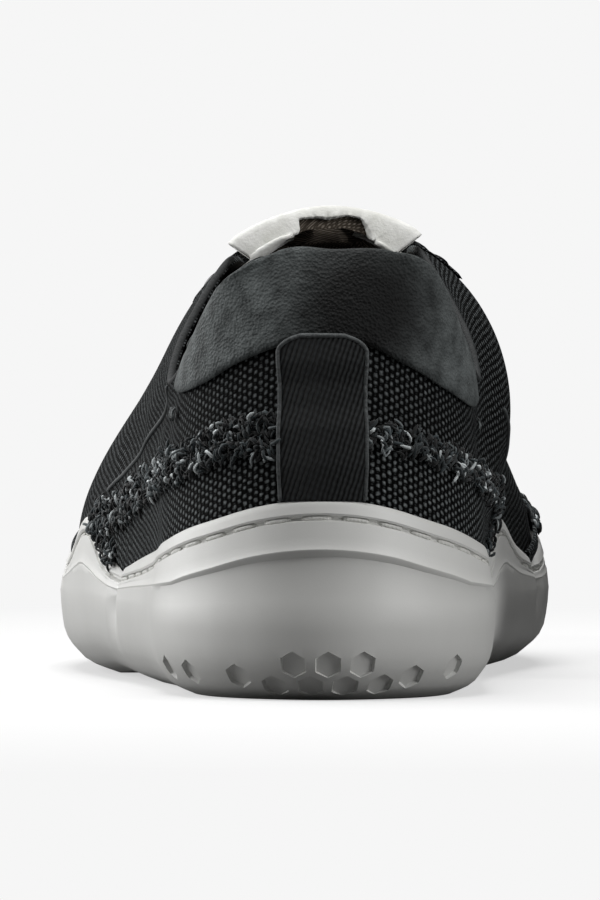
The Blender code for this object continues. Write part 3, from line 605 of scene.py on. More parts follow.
fine = np.linspace(-1, 1, 6001)
run = run_along(channel_spot(fine)[None], 1)[0]
stitches = []
for start in np.arange(0, run[-1] - STITCH_LENGTH, STITCH_LENGTH + STITCH_GAP):
    places = np.linspace(start, start + STITCH_LENGTH, 9)
    at = np.interp(places, run, fine)
    if valley(at, STITCH_MISSES).max() > 0:
        continue
    line = channel_spot(at)
    sink = np.abs(np.linspace(-1, 1, 9)) ** 3 * STITCH_SINK
    x0, y0 = outline(at, 0.0)
    x1, y1 = outline(at, 0.001)
    line[:, 0] += (x1 - x0) / 0.001 * sink
    line[:, 1] += (y1 - y0) / 0.001 * sink
    stitches.append(line)
sole_stitching = yarn_mesh("sole_stitching", stitches, STITCH_YARN, sides=6)

# Waxed thread: pale twisted yarn with a soft shine, its plies drawn 0.75 mm apart.
waxed_thread, tree, shader = new_material("waxed_thread")
sole_stitching.data.materials.append(waxed_thread)
spot = node(tree, "TexCoord").outputs["Object"]
ply = node(tree, "TexWave", {"Vector": spot, "Scale": 420.0, "Distortion": 1.0})
skin = node(tree, "Bump", {"Strength": 0.5, "Distance": 0.0001, "Height": ply})
plug(shader, {"Base Color": web_colour("dededa"), "Roughness": 0.55, "Normal": skin})
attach(sole_stitching, "root")

# Moulded rubber: matt, faintly clouded, with a 0.1 mm grit drawn at 0.4 mm so that it shows. The wall
# under the band over the crease is painted a tenth darker, as painted shade, so that the band looks lit.
moulded_rubber, tree, shader = new_material("moulded_rubber")
outsole.data.materials.append(moulded_rubber)
spot = node(tree, "TexCoord").outputs["Object"]
cloud = node(tree, "TexNoise", {"Vector": spot, "Scale": 38.0, "Detail": 4.0})
tone = node(tree, "ValToRGB", {0: cloud})
for stop, position, code in zip(tone.color_ramp.elements, (0.30, 0.72), ("d8d8d5", "e2e2df")):
    stop.position = position
    stop.color = web_colour(code)
smooth = node(tree, "Attribute", attribute_name="band").outputs["Fac"]
painted_light = node(tree, "MapRange", {"Value": smooth, "To Min": 0.90, "To Max": 1.0})
paint = node(tree, "Mix", {0: 1.0, 6: tone, 7: painted_light}, data_type="RGBA", blend_type="MULTIPLY")
grit = node(tree, "TexNoise", {"Vector": spot, "Scale": 2600.0, "Detail": 2.0})
skin = node(tree, "Bump", {"Strength": 0.10, "Distance": 0.00012, "Height": grit})
plug(shader, {"Base Color": paint, "Roughness": 0.46, "IOR": 1.5, "Normal": skin})
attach(outsole, "root")
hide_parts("outsole")


# Upper: one low shell of black plain-weave canvas, bound at the collar and lined with dark cloth. It is
# lasted and cemented into the cup, with soft creases where the foot bends it.
HEEL_HEIGHT = 0.0880
INSTEP_HEIGHT = 0.0870
CLEAR = 0.0003
UPPER_WALL = 0.0016
DIP_ALONG = 0.215
SIDE_FIELD = 2
HEIGHT_FIELD = 3
UPPER_HEEL = (1.030, 0.048, 0.024, 1.000, 0.00, 0.40, 0.05, 0.75)
UPPER_TOE = (0.800, 0.646, 0.010, 0.645, 0.05, 0.38, 0.37, 0.72)
LATERAL_UPPER = (
    # along, skirt, top_along, top_side, top_height, low_plan, low_rise, high_plan, high_rise
    (0.030, 0.985, 0.048, 0.080, 1.000, 0.00, 0.40, 0.05, 0.75),
    (0.078, 0.880, 0.056, 0.168, 0.949, 0.00, 0.40, 0.05, 0.75),
    (0.148, 0.830, 0.106, 0.250, 0.772, 0.00, 0.38, 0.05, 0.72),
    (0.212, 0.810, 0.180, 0.298, 0.706, 0.00, 0.35, 0.10, 0.70),
    (0.268, 0.810, 0.233, 0.274, 0.822, -0.35, 0.35, 0.10, 0.72),
    (0.329, 0.820, 0.304, 0.192, 0.989, -0.08, 0.42, 0.37, 0.77),
    (0.449, 0.860, 0.396, 0.120, 0.885, -0.01, 0.37, 0.35, 0.79),
    (0.558, 0.780, 0.495, 0.101, 0.776, 0.02, 0.37, 0.36, 0.78),
    (0.671, 0.640, 0.576, 0.087, 0.690, 0.06, 0.38, 0.36, 0.76),
    (0.799, 0.680, 0.625, 0.067, 0.655, 0.08, 0.38, 0.38, 0.76),
    (0.940, 0.800, 0.643, 0.029, 0.645, 0.06, 0.38, 0.37, 0.73),
)
MEDIAL_UPPER = (
    # along, skirt, top_along, top_side, top_height, low_plan, low_rise, high_plan, high_rise
    (0.030, 0.985, 0.048, 0.125, 1.000, 0.00, 0.40, 0.05, 0.75),
    (0.078, 0.880, 0.060, 0.195, 0.972, 0.00, 0.40, 0.05, 0.75),
    (0.148, 0.830, 0.110, 0.255, 0.818, 0.00, 0.38, 0.05, 0.72),
    (0.212, 0.810, 0.176, 0.303, 0.710, 0.00, 0.35, 0.10, 0.70),
    (0.268, 0.810, 0.223, 0.282, 0.828, -0.60, 0.35, -0.20, 0.72),
    (0.329, 0.820, 0.304, 0.197, 1.011, -0.90, 0.32, -0.62, 0.80),
    (0.449, 0.860, 0.396, 0.139, 0.908, -0.34, 0.36, -0.10, 0.80),
    (0.558, 0.780, 0.495, 0.115, 0.793, -0.06, 0.35, 0.22, 0.80),
    (0.671, 0.640, 0.576, 0.101, 0.701, 0.00, 0.40, 0.32, 0.75),
    (0.799, 0.680, 0.625, 0.082, 0.661, 0.03, 0.40, 0.35, 0.75),
    (0.940, 0.800, 0.643, 0.043, 0.645, 0.05, 0.38, 0.37, 0.73),
)
SKIN_COLUMNS = 960
SKIN_ROWS = 140
EASE_REACH = 9
EASE_WIDTH = 4.0
SAG_SLOPE = 0.36
SAG_RUN = 12.0
CREASES = (
    # side it lies on, width, depth (a ridge if above 0), points in millimetres as (forward, height)
    ("lateral", 5.0, -0.7, ((18, 58), (40, 50), (70, 47))),
    ("lateral", 4.0, 0.5, ((14, 52), (38, 43), (62, 40))),
    ("medial", 5.0, -0.7, ((12, 56), (36, 49), (64, 46))),
    ("medial", 4.5, -0.6, ((108, 66), (100, 50), (104, 38))),
    ("top", 6.0, -0.9, ((-40, 138), (-15, 150), (10, 150), (36, 136))),
    ("top", 5.0, 0.6, ((-36, 149), (-12, 159), (12, 158), (34, 148))),
    ("top", 5.0, -0.6, ((-34, 160), (-12, 168), (14, 166), (34, 157))),
)


def wall_tables():
    """Ring curves for the skirt height, the topline and the pulling points of the upper's wall."""

    def side(rows, field):
        read = []
        for row in rows:
            value = row[field + 1]
            if field == HEIGHT_FIELD:
                value *= HEEL_HEIGHT if row[0] < DIP_ALONG else INSTEP_HEIGHT
            read.append((row[0], value))
        return read

    curves = []
    for field, (heel, toe) in enumerate(zip(UPPER_HEEL, UPPER_TOE)):
        lateral, medial = side(LATERAL_UPPER, field), side(MEDIAL_UPPER, field)
        if field == SIDE_FIELD:
            lateral = [(along, -value) for along, value in lateral]
        if field == HEIGHT_FIELD:
            heel, toe = heel * HEEL_HEIGHT, toe * INSTEP_HEIGHT
        curves.append(ring_curve(lateral, medial, heel, toe))
    return curves


SKIRT, TOP_ALONG, TOP_SIDE, TOP_HEIGHT, LOW_PLAN, LOW_RISE, HIGH_PLAN, HIGH_RISE = wall_tables()


def wall(turns, up):
    """The upper's outer surface: up is 0 at the top of its straight skirt and 1 at the topline."""
    turns, up = np.broadcast_arrays(np.asarray(turns, dtype=float), np.asarray(up, dtype=float))
    turns = (turns + 1) % 2 - 1
    x, y = outline(turns, CUP_WALL + CLEAR)
    foot = np.stack((x, y, SOLE_EDGE * SKIRT(turns)), axis=-1)
    x, y = BALL_WIDTH * TOP_SIDE(turns), SHOE_LENGTH * TOP_ALONG(turns) - HEEL_REST
    top = np.stack((x, y, TOP_HEIGHT(turns)), axis=-1)

    def pulled(plan, rise):
        return foot + np.stack((plan, plan, rise), axis=-1) * (top - foot)

    low = pulled(LOW_PLAN(turns), LOW_RISE(turns))
    high = pulled(HIGH_PLAN(turns), HIGH_RISE(turns))
    u = up[..., None]
    return (1 - u) ** 3 * foot + 3 * u * (1 - u) ** 2 * low + 3 * u * u * (1 - u) * high + u**3 * top


def skin_points():
    """The upper as a fine table: each column from its foot in the cup to the topline, evenly spaced."""
    turns = np.linspace(-1, 1, SKIN_COLUMNS + 1)
    foot = sole_ring(turns, FOOTBED + CLEAR, CUP_WALL + CLEAR)
    above = wall(turns[None, :], np.linspace(0, 1, 61)[:, None])
    rows = np.concatenate((foot + (above[0] - foot) * np.linspace(0, 1, 21)[:-1, None, None], above))
    run = run_along(rows, 0)
    even = np.linspace(0, 1, SKIN_ROWS + 1)
    columns = [read_line(even * run[-1, c], run[:, c], rows[:, c]) for c in range(SKIN_COLUMNS + 1)]
    points = np.stack(columns, axis=1)
    kernel = np.exp(-((np.arange(-EASE_REACH, EASE_REACH + 1) / EASE_WIDTH) ** 2))
    kernel /= kernel.sum()
    low = 2 * points[:1] - points[EASE_REACH:0:-1]
    high = 2 * points[-1:] - points[-2 : -EASE_REACH - 2 : -1]
    long = np.concatenate((low, points, high))
    return sum(w * long[k : k + SKIN_ROWS + 1] for k, w in enumerate(kernel))


def outward(points):
    """The way out of the upper at each point of its table."""
    around = np.empty_like(points)
    around[:, 1:-1] = points[:, 2:] - points[:, :-2]
    around[:, 0] = around[:, -1] = points[:, 1] - points[:, -2]
    return unit(np.cross(around, np.gradient(points, axis=0)))


def near_line(places, line):
    """Distance from each place to a line of points, all in one plane."""
    least = np.full(places.shape[:-1], 1e9)
    for a, b in zip(line, line[1:]):
        a, b = np.array(a, dtype=float), np.array(b, dtype=float)
        share = np.clip(((places - a) @ (b - a)) / ((b - a) @ (b - a)), 0, 1)
        least = np.minimum(least, np.linalg.norm(places - a - share[..., None] * (b - a), axis=-1))
    return least


def creased(points):
    """The upper with its soft troughs and ridges."""
    normals = outward(points)
    moved = np.zeros(points.shape[:2])
    for side, width, depth, line in CREASES:
        if side == "top":
            places = points[..., :2] * 1000
            here = np.clip((points[..., 2] - 0.036) / 0.006, 0, 1)
        else:
            places = points[..., 1:] * 1000
            sign = -1 if side == "lateral" else 1
            here = np.clip(sign * points[..., 0] / 0.008 - 0.5, 0, 1)
        moved += depth / 1000 * here * np.exp(-((near_line(places, line) / width) ** 2))
    share = np.linspace(0, 1, SKIN_ROWS + 1)[:, None]
    moved *= np.clip((1 - share) / 0.06, 0, 1)
    return points + normals * moved[..., None]


SKIN = creased(skin_points())
SKIN_OUT = outward(SKIN)
SKIN_UP = run_along(SKIN, 0)
half = SKIN_COLUMNS // 2
FROM_TOE = run_along(SKIN, 1)
FROM_HEEL = FROM_TOE - FROM_TOE[:, half : half + 1]
FROM_TOE = np.where(np.arange(SKIN_COLUMNS + 1) <= half, FROM_TOE, FROM_TOE - FROM_TOE[:, -1:])


def read_skin(field, turns, rows):
    """Reads a table of the upper between its points: turn round the shoe, row as a share of the way up."""
    turns, rows = np.broadcast_arrays(np.asarray(turns, dtype=float), np.asarray(rows, dtype=float))
    a = ((turns + 1) % 2) / 2 * SKIN_COLUMNS
    b = np.clip(rows, 0, 1) * SKIN_ROWS
    i = np.minimum(a.astype(int), SKIN_COLUMNS - 1)
    j = np.minimum(b.astype(int), SKIN_ROWS - 1)
    s, t = a - i, b - j
    if field.ndim == 3:
        s, t = s[..., None], t[..., None]
    low = field[j, i] * (1 - s) + field[j, i + 1] * s
    high = field[j + 1, i] * (1 - s) + field[j + 1, i + 1] * s
    return low * (1 - t) + high * t


def on_skin(turns, rows, off=0.0):
    """Points that far outside the upper's surface."""
    off = np.asarray(off, dtype=float)
    return read_skin(SKIN, turns, rows) + read_skin(SKIN_OUT, turns, rows) * off[..., None]


def threads_on(turns, rows, start="heel"):
    """Millimetres across and up the cloth. Round the heel its rows sag to both sides, as cut on a curve."""
    up = read_skin(SKIN_UP, turns, rows) * 1000
    if start == "toe":
        return np.stack((read_skin(FROM_TOE, turns, rows) * 1000, up), axis=-1)
    across = read_skin(FROM_HEEL, turns, rows) * 1000
    return np.stack((across, up + SAG_SLOPE * (np.hypot(across, SAG_RUN) - SAG_RUN)), axis=-1)


def row_at(turns, height):
    """The row of each column at a height."""
    even = np.linspace(0, 1, SKIN_ROWS + 1)
    columns = [read_skin(SKIN, t, even)[:, 2] for t in turns]
    height = np.broadcast_to(height, np.shape(turns))
    return np.array([np.interp(h, column, even) for h, column in zip(height, columns)])


def row_under_top(turns, distance):
    """The row of a line that runs a distance below the topline."""
    whole = read_skin(SKIN_UP, turns, np.ones(np.shape(turns)))
    return 1 - distance / whole


def add_wall(thing, thickness, inner=0, rim=0):
    """Gives an open sheet its thickness inwards, with other materials inside and on the rim if named."""
    shell = thing.modifiers.new("wall", "SOLIDIFY")
    shell.thickness = thickness
    shell.offset = -1
    shell.use_even_offset = False
    shell.use_quality_normals = True
    shell.material_offset = inner
    shell.material_offset_rim = rim


def plain_weave(name, gap_colour_and_shade, knuckle_colour_and_highlight, across=1.25, up=0.77, relief=0.00022):
    """Cotton cloth: dull warp knuckles stand over darker weft, with uneven yarns. Pitches in millimetres."""
    cloth, tree, shader = new_material(name)
    flat = node(tree, "UVMap", uv_map="threads")
    wander = node(tree, "TexNoise", {"Vector": flat, "Scale": 0.45, "Detail": 3.0}).outputs["Color"]
    shifted = node(tree, "VectorMath", {0: wander, 1: (0.5, 0.5, 0.5)}, operation="SUBTRACT")
    moved = node(tree, "VectorMath", {0: shifted, 1: (0.85, 0.85, 0.0), 2: flat}, operation="MULTIPLY_ADD")
    axes = node(tree, "SeparateXYZ", {0: moved})
    waves = []
    for socket, pitch in ((0, across), (1, up)):
        turned = node(tree, "Math", {0: axes.outputs[socket], 1: math.pi / pitch}, operation="MULTIPLY")
        waves.append(node(tree, "Math", {0: turned}, operation="SINE"))
    column = node(tree, "Math", {0: waves[0]}, operation="ABSOLUTE")
    cross = node(tree, "Math", {0: waves[0], 1: waves[1]}, operation="MULTIPLY")
    knuckle = node(tree, "Math", {0: column, 1: 0.42, 2: cross}, operation="MULTIPLY_ADD")
    knuckle = node(tree, "Math", {0: knuckle, 1: 0.0}, operation="MAXIMUM")
    dome = node(tree, "Math", {0: knuckle, 1: 0.5}, operation="POWER")
    slim = node(tree, "Math", {0: column, 1: 0.5}, operation="POWER")
    warp = node(tree, "Math", {0: dome, 1: slim}, operation="MULTIPLY")
    weft = node(tree, "Math", {0: cross, 1: -0.45}, operation="MULTIPLY")
    weft = node(tree, "Math", {0: weft, 1: 0.0}, operation="MAXIMUM")
    slub = node(tree, "TexNoise", {"Vector": flat, "Scale": 1.7, "Detail": 3.0})
    height = node(tree, "Math", {0: warp, 1: weft}, operation="ADD")
    uneven_painted_light = node(tree, "Math", {0: height, 1: slub}, operation="MULTIPLY")
    # Colour follows the weave's height: the knuckle tops get painted highlight and the low gaps painted
    # shade.
    tone = node(tree, "MapRange", {"Value": uneven_painted_light, "From Min": 0.17, "From Max": 0.74})
    paint = node(tree, "Mix", {0: tone, 6: web_colour(gap_colour_and_shade), 7: web_colour(knuckle_colour_and_highlight)}, data_type="RGBA")
    fuzz = node(tree, "TexNoise", {"Vector": flat, "Scale": 9.0, "Detail": 2.0})
    rough = node(tree, "Math", {0: fuzz, 1: 0.35, 2: height}, operation="MULTIPLY_ADD")
    skin = node(tree, "Bump", {"Strength": 0.9, "Distance": relief, "Height": rough})
    plug(shader, {"Base Color": paint, "Roughness": 0.82, "Specular IOR Level": 0.06, "Normal": skin})
    return cloth


# Black canvas: coarse cotton that looks near black, its rows of knuckles painted grey as painted highlight.
# Its lining is finer, brownish black and smoother.
black_canvas = plain_weave("black_canvas", "020202", "6b6f70")
dark_lining = plain_weave("dark_lining", "141312", "2b2926", 0.9, 0.9, 0.00008)

turns = np.linspace(-1, 1, SKIN_COLUMNS + 1)[::2]
rows = np.linspace(0, 1, SKIN_ROWS + 1)[::2, None]
turns, rows = np.broadcast_arrays(turns[None, :], rows)
upper = sheet_mesh("canvas_upper", on_skin(turns, rows), threads_on(turns, rows), closed=True)
upper.data.materials.append(black_canvas)
upper.data.materials.append(dark_lining)
add_wall(upper, UPPER_WALL, inner=1, rim=0)
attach(upper, "root")
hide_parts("upper")


# Insole: a flat foam footbed with a dark cloth face, laid loose in the cup. Its edge is rounded and its
# middle is pressed in a little.
INSOLE_THICK = 0.0040
INSOLE_COLUMNS = 360
INSOLE_EDGE = (
    # share of the thickness, inset
    (0.0, 0.0), (0.6, 0.0), (0.85, 0.0002), (0.97, 0.0007), (1.0, 0.0016), (1.0, 0.006), (0.96, 0.012),
)

places = np.linspace(-1, 1, INSOLE_COLUMNS + 1)
inset = CUP_WALL + UPPER_WALL + 2 * CLEAR
base = FOOTBED + CLEAR
rings = np.array([sole_ring(places, base + INSOLE_THICK * up, inset + more) for up, more in INSOLE_EDGE])
insole = sheet_mesh("foam_insole", rings, rings[..., :2] * 1000, closed=True)
close_across(insole, 0, INSOLE_COLUMNS, upward=False)
close_across(insole, (len(rings) - 1) * INSOLE_COLUMNS, INSOLE_COLUMNS, upward=True)

# Cloth-faced foam: a thin dull knit on foam, dark, and painted nearly black as painted shade so the cup looks
# deep.
foam_cloth = plain_weave("cloth_faced_foam", "121110", "302d2a", 1.0, 1.0, 0.0001)
insole.data.materials.append(foam_cloth)
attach(insole, "root")
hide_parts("insole")


# Overlays: a canvas counter round the heel and a guard round the toe, laid over the upper with their cut
# top edges left raw. The weft has worked loose there into a band of curled ends and loops.
PANEL_CLEAR = 0.0003
OVERLAY_THICK = 0.0012
HEEL_RAW_LATERAL = ((0.0, 0.582), (0.03, 0.580), (0.07, 0.535), (0.24, 0.467), (0.42, 0.377), (0.455, 0.372))
HEEL_RAW_MEDIAL = ((0.0, 0.582), (0.03, 0.575), (0.07, 0.528), (0.13, 0.486), (0.39, 0.420), (0.445, 0.385))
TOE_RAW = (
    (0.585, 0.280), (0.618, 0.300), (0.665, 0.328), (0.725, 0.370), (0.82, 0.425), (0.92, 0.455),
    (1.0, 0.462),
)
HEEL_PANEL_ENDS = (0.440, 0.430)
TOE_PANEL_START = 0.592
YARN = 0.00029
YARN_STEPS = 6
YARN_LENGTHS = (0.0014, 0.0038)
YARN_LOFTS = (0.0001, 0.0012)
KNOTS = (9, 260)
LEAST_GAP = 0.0008
LOBE_GAP = 0.0014
LEAST_PANEL = 0.0015
HEEL_SUNK = 0.0005
TOE_SUNK = 0.0012
TAPE_HALF = 0.0079
EDGE_YARNS = (1250, 850)
FLANK = (0.452, 0.372)
FLANK_YARNS = 230
MEDIAL_FLANK = (0.36, 0.44)
MEDIAL_YARNS = 60
TOE_YARNS = 1400
TOE_BARE_ENDS = (0.06, 0.17)


def two_sided(lateral, medial):
    """A curve round the heel from one table for each side."""
    keys = [-turn(a) for a, _ in reversed(lateral[1:])] + [turn(a) for a, _ in medial]
    values = [v for _, v in reversed(lateral[1:])] + [v for _, v in medial]
    return curve_through(keys, values)


def panel_on_skin(name, turns, low, high, thick, clear, steps, start="heel", edge=0.0010):
    """A patch of sheet on the upper between two rows, its borders rolled down to the surface."""
    share = np.concatenate(([0, 0.004, 0.012], np.linspace(0.03, 0.97, steps), [0.988, 0.996, 1]))
    rows = low + (high - low) * share[:, None]
    turns, rows = np.broadcast_arrays(turns[None, :], rows)
    flat = threads_on(turns, rows, start)
    up = np.minimum(flat[..., 1] - flat[:1, :, 1], flat[-1:, :, 1] - flat[..., 1])
    round_it = run_along(on_skin(turns, rows), 1) * 1000
    along = np.minimum(round_it, round_it[:, -1:] - round_it)
    inside = np.clip(np.minimum(up, along) / (edge * 1000), 0, 1)
    off = clear + thick * (0.30 + 0.70 * np.sqrt(1 - (1 - inside) ** 2))
    thing = sheet_mesh(name, on_skin(turns, rows, off), flat)
    add_wall(thing, thick * 0.28)
    return thing


heel_raw = two_sided(HEEL_RAW_LATERAL, HEEL_RAW_MEDIAL)
toe_raw = curve_through([turn(a) for a, _ in TOE_RAW], [h for _, h in TOE_RAW])

# Frayed canvas: the same cloth, its knuckles given a lighter painted highlight and its gaps a darker painted
# shade.
frayed_canvas = plain_weave("frayed_canvas", "010101", "7f8485")

turns = np.linspace(-turn(HEEL_PANEL_ENDS[0]), turn(HEEL_PANEL_ENDS[1]), 561)
low = edge_height(turns) - HEEL_SUNK
high = np.maximum(INSTEP_HEIGHT * heel_raw(turns), low + LEAST_PANEL)
heel_panel = panel_on_skin(
    "heel_overlay", turns, row_at(turns, low), row_at(turns, high), OVERLAY_THICK, PANEL_CLEAR, 36
)
heel_panel.data.materials.append(frayed_canvas)
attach(heel_panel, "root")
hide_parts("heel_panel")

turns = np.linspace(turn(TOE_PANEL_START), 2 - turn(TOE_PANEL_START), 441)
low = edge_height((turns + 1) % 2 - 1) - TOE_SUNK
high = np.maximum(INSTEP_HEIGHT * toe_raw(1 - np.abs(turns - 1)), low + LEAST_PANEL)
toe_panel = panel_on_skin(
    "toe_overlay", turns, row_at(turns, low), row_at(turns, high), OVERLAY_THICK, PANEL_CLEAR, 36, "toe"
)
toe_panel.data.materials.append(frayed_canvas)
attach(toe_panel, "root")
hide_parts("toe_panel")


def loose_yarns(seed, places, raw_height, spread, lowest=None, loft=1.0):
    """Curled weft ends and loops along a raw edge: their lines, radii and tones."""
    chance = np.random.default_rng(seed)
    count = len(places)
    clump = chance.normal(0, 1, KNOTS)
    height_share = chance.uniform(0, 1, count)
    column_of = (places - places.min()) / (np.ptp(places) + 1e-9) * (KNOTS[1] - 1)
    left = np.minimum(column_of.astype(int), KNOTS[1] - 2)
    band = np.minimum((height_share * 8).astype(int), 7)
    knots = clump[band, left] * (left + 1 - column_of) + clump[band, left + 1] * (column_of - left)
    aside = (height_share - 0.45) * spread(places) * 3.4 + chance.normal(0, 0.0004, count)
    height = raw_height(places) + aside
    if lowest is not None:
        height = np.maximum(height, lowest(places))
    rows = row_at(places, height)
    stand = PANEL_CLEAR + OVERLAY_THICK * np.clip(0.5 - aside / 0.001, 0.15, 1)
    base = on_skin(places, rows, stand + 0.0001)
    out = unit(read_skin(SKIN_OUT, places, rows))
    level = unit(np.cross(np.array([0, 0, 1.0]), out))
    upright = np.cross(out, level)
    length = chance.uniform(*YARN_LENGTHS, count)
    upward = chance.uniform(0, 1, count) < 0.55
    heading = np.where(upward, chance.normal(1.15, 0.5, count), chance.uniform(0, 6.28, count))
    hooked = chance.uniform(0, 1, count) < 0.5
    kink = np.where(hooked, chance.uniform(0.9, 2.2, count), 0.25) * chance.choice((-1, 1), count)
    share = np.linspace(0, 1, YARN_STEPS)
    angle = heading[:, None] + kink[:, None] / (1 + np.exp(-(share[None, :] - 0.5) * 16))
    step = length[:, None] / (YARN_STEPS - 1)
    a = np.cumsum(np.cos(angle) * step, axis=1)
    b = np.cumsum(np.sin(angle) * step, axis=1)
    a -= a.mean(axis=1, keepdims=True)
    b -= b.mean(axis=1, keepdims=True)
    loft_up = chance.uniform(*YARN_LOFTS, count) + 0.0006 * np.clip(knots, 0, 1.5)
    tail = chance.uniform(-0.4, 0.9, count)
    high = loft_up[:, None] * (0.4 + 0.6 * np.sin(math.pi * share) + tail[:, None] * share**2) + 0.00012
    lines = base[:, None] + level[:, None] * a[..., None] + upright[:, None] * b[..., None]
    lines += out[:, None] * high[..., None] * loft
    radii = YARN * chance.uniform(0.7, 1.3, count)
    tones = np.clip(chance.beta(0.8, 3.0, count) + 0.20 * np.clip(knots, -1.5, 1.2) - 0.06, 0, 1)
    return lines, radii, tones


# Loose cotton: matt, hairy weft. Most ends stay near black, and a few are painted almost white as painted
# highlights, where they catch the light.
loose_cotton, tree, shader = new_material("loose_cotton")
tone = node(tree, "Attribute", attribute_name="tone").outputs["Fac"]
dye_and_highlights = node(tree, "ValToRGB", {0: tone})
dye_and_highlights.color_ramp.elements.new(0.40)
for stop, position, code in zip(dye_and_highlights.color_ramp.elements, (0.05, 0.40, 0.72), ("080a0b", "3a4346", "d2d8d9")):
    stop.position = position
    stop.color = web_colour(code)
plug(shader, {"Base Color": dye_and_highlights, "Roughness": 0.75, "Sheen Weight": 0.2, "Specular IOR Level": 0.3})

chance = np.random.default_rng(5)
lateral_places = chance.uniform(-turn(HEEL_PANEL_ENDS[0]), 0, EDGE_YARNS[0])
edge_places = np.concatenate((lateral_places, chance.uniform(0, turn(HEEL_PANEL_ENDS[1]), EDGE_YARNS[1])))
clear_of_tape = np.abs(read_skin(SKIN, edge_places, np.full(len(edge_places), 0.6))[:, 0]) > TAPE_HALF
edge_places = np.sort(edge_places[clear_of_tape])
flank = np.sort(chance.uniform(-turn(FLANK[0]), -turn(FLANK[1]), FLANK_YARNS))
medial_flank = np.sort(chance.uniform(turn(MEDIAL_FLANK[0]), turn(MEDIAL_FLANK[1]), MEDIAL_YARNS))
toe_start = turn(TOE_PANEL_START)
toe_places = chance.uniform(toe_start + TOE_BARE_ENDS[0], 2 - toe_start - TOE_BARE_ENDS[1], TOE_YARNS)
toe_places = np.sort(toe_places)


def lobe_edge(places):
    """A line just over the sole's edge."""
    return edge_height(places) + LOBE_GAP


def heel_edge(places):
    """Height of the raw edge round the heel."""
    return np.maximum(INSTEP_HEIGHT * heel_raw(places), edge_height(places) + LEAST_GAP)


def toe_edge(places):
    """Height of the raw edge round the toe."""
    sole_edge = edge_height((places + 1) % 2 - 1)
    return np.maximum(INSTEP_HEIGHT * toe_raw(1 - np.abs(places - 1)), sole_edge + LEAST_GAP)


heel_yarns = (
    loose_yarns(11, edge_places, heel_edge, lambda places: np.where(places < 0, 0.0023, 0.0016), lobe_edge),
    loose_yarns(12, flank, lobe_edge, lambda places: 0.0016 + 0 * places),
    loose_yarns(13, medial_flank, lobe_edge, lambda places: 0.0010 + 0 * places),
)
toe_yarns = (loose_yarns(14, toe_places, toe_edge, lambda places: 0.0012 + 0 * places, loft=0.5),)
for name, parts in (("heel_fringe", heel_yarns), ("toe_fringe", toe_yarns)):
    lines, radii, tones = (np.concatenate(values) for values in zip(*parts))
    fringe = yarn_mesh(name, lines, radii, sides=5, tones=tones)
    fringe.data.materials.append(loose_cotton)
    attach(fringe, "root")


# Heel tab: a saddle of dark grey nubuck, folded over the back of the collar. Its edges are skived thin
# and turned down on the canvas.
TAB_THICK = 0.0011
TAB_LOWER_LATERAL = ((0.0, 0.789), (0.008, 0.789), (0.03, 0.752), (0.06, 0.706), (0.11, 0.681), (0.16, 0.690))
TAB_LOWER_MEDIAL = ((0.0, 0.789), (0.008, 0.789), (0.03, 0.742), (0.06, 0.695), (0.12, 0.650), (0.18, 0.655))
TAB_ENDS = (0.150, 0.172)

turns = np.linspace(-turn(TAB_ENDS[0]), turn(TAB_ENDS[1]), 261)
low = row_at(turns, HEEL_HEIGHT * two_sided(TAB_LOWER_LATERAL, TAB_LOWER_MEDIAL)(turns))
heel_tab = panel_on_skin("nubuck_heel_tab", turns, low, np.ones_like(low), TAB_THICK, CLEAR, 60, edge=0.0016)

# Nubuck: buffed leather, dark grey and dull, with 0.2 mm pores drawn at 0.6 mm so that they show. Round a
# spot a little right of its middle it is painted darker, as painted shade in the hollow there.
grey_nubuck, tree, shader = new_material("grey_nubuck")
heel_tab.data.materials.append(grey_nubuck)
spot = node(tree, "TexCoord").outputs["Object"]
patches = node(tree, "TexNoise", {"Vector": spot, "Scale": 260.0, "Detail": 6.0})
tone = node(tree, "ValToRGB", {0: patches})
for stop, position, code in zip(tone.color_ramp.elements, (0.32, 0.70), ("3a3e3e", "636868")):
    stop.position = position
    stop.color = web_colour(code)
# A soft spot a little right of the middle is painted darker, as painted shade in the hollow there.
centred = node(tree, "VectorMath", {0: spot, 1: (0.0075, 0.0, 0.0765)}, operation="SUBTRACT")
shaped = node(tree, "VectorMath", {0: centred, 1: (52.0, 0.0, 48.0)}, operation="MULTIPLY")
away = node(tree, "VectorMath", {0: shaped}, operation="LENGTH")
hollow_shade_fade = {"Value": away, "From Min": 0.30, "From Max": 1.15, "To Min": 0.03, "To Max": 1.0}
painted_hollow_shade = node(tree, "MapRange", hollow_shade_fade, interpolation_type="SMOOTHSTEP")
paint = node(tree, "Mix", {0: 1.0, 6: tone, 7: painted_hollow_shade}, data_type="RGBA", blend_type="MULTIPLY")
grain = node(tree, "TexVoronoi", {"Vector": spot, "Scale": 1600.0})
pores = node(tree, "TexNoise", {"Vector": spot, "Scale": 1500.0, "Detail": 3.0})
both = node(tree, "Math", {0: grain, 1: pores}, operation="ADD")
skin = node(tree, "Bump", {"Strength": 1.0, "Distance": 0.00022, "Height": both})
plug(shader, {"Base Color": paint, "Roughness": 0.66, "Normal": skin})
plug(shader, {"Sheen Weight": 0.05, "Specular IOR Level": 0.16})
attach(heel_tab, "root")
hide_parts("heel_tab")


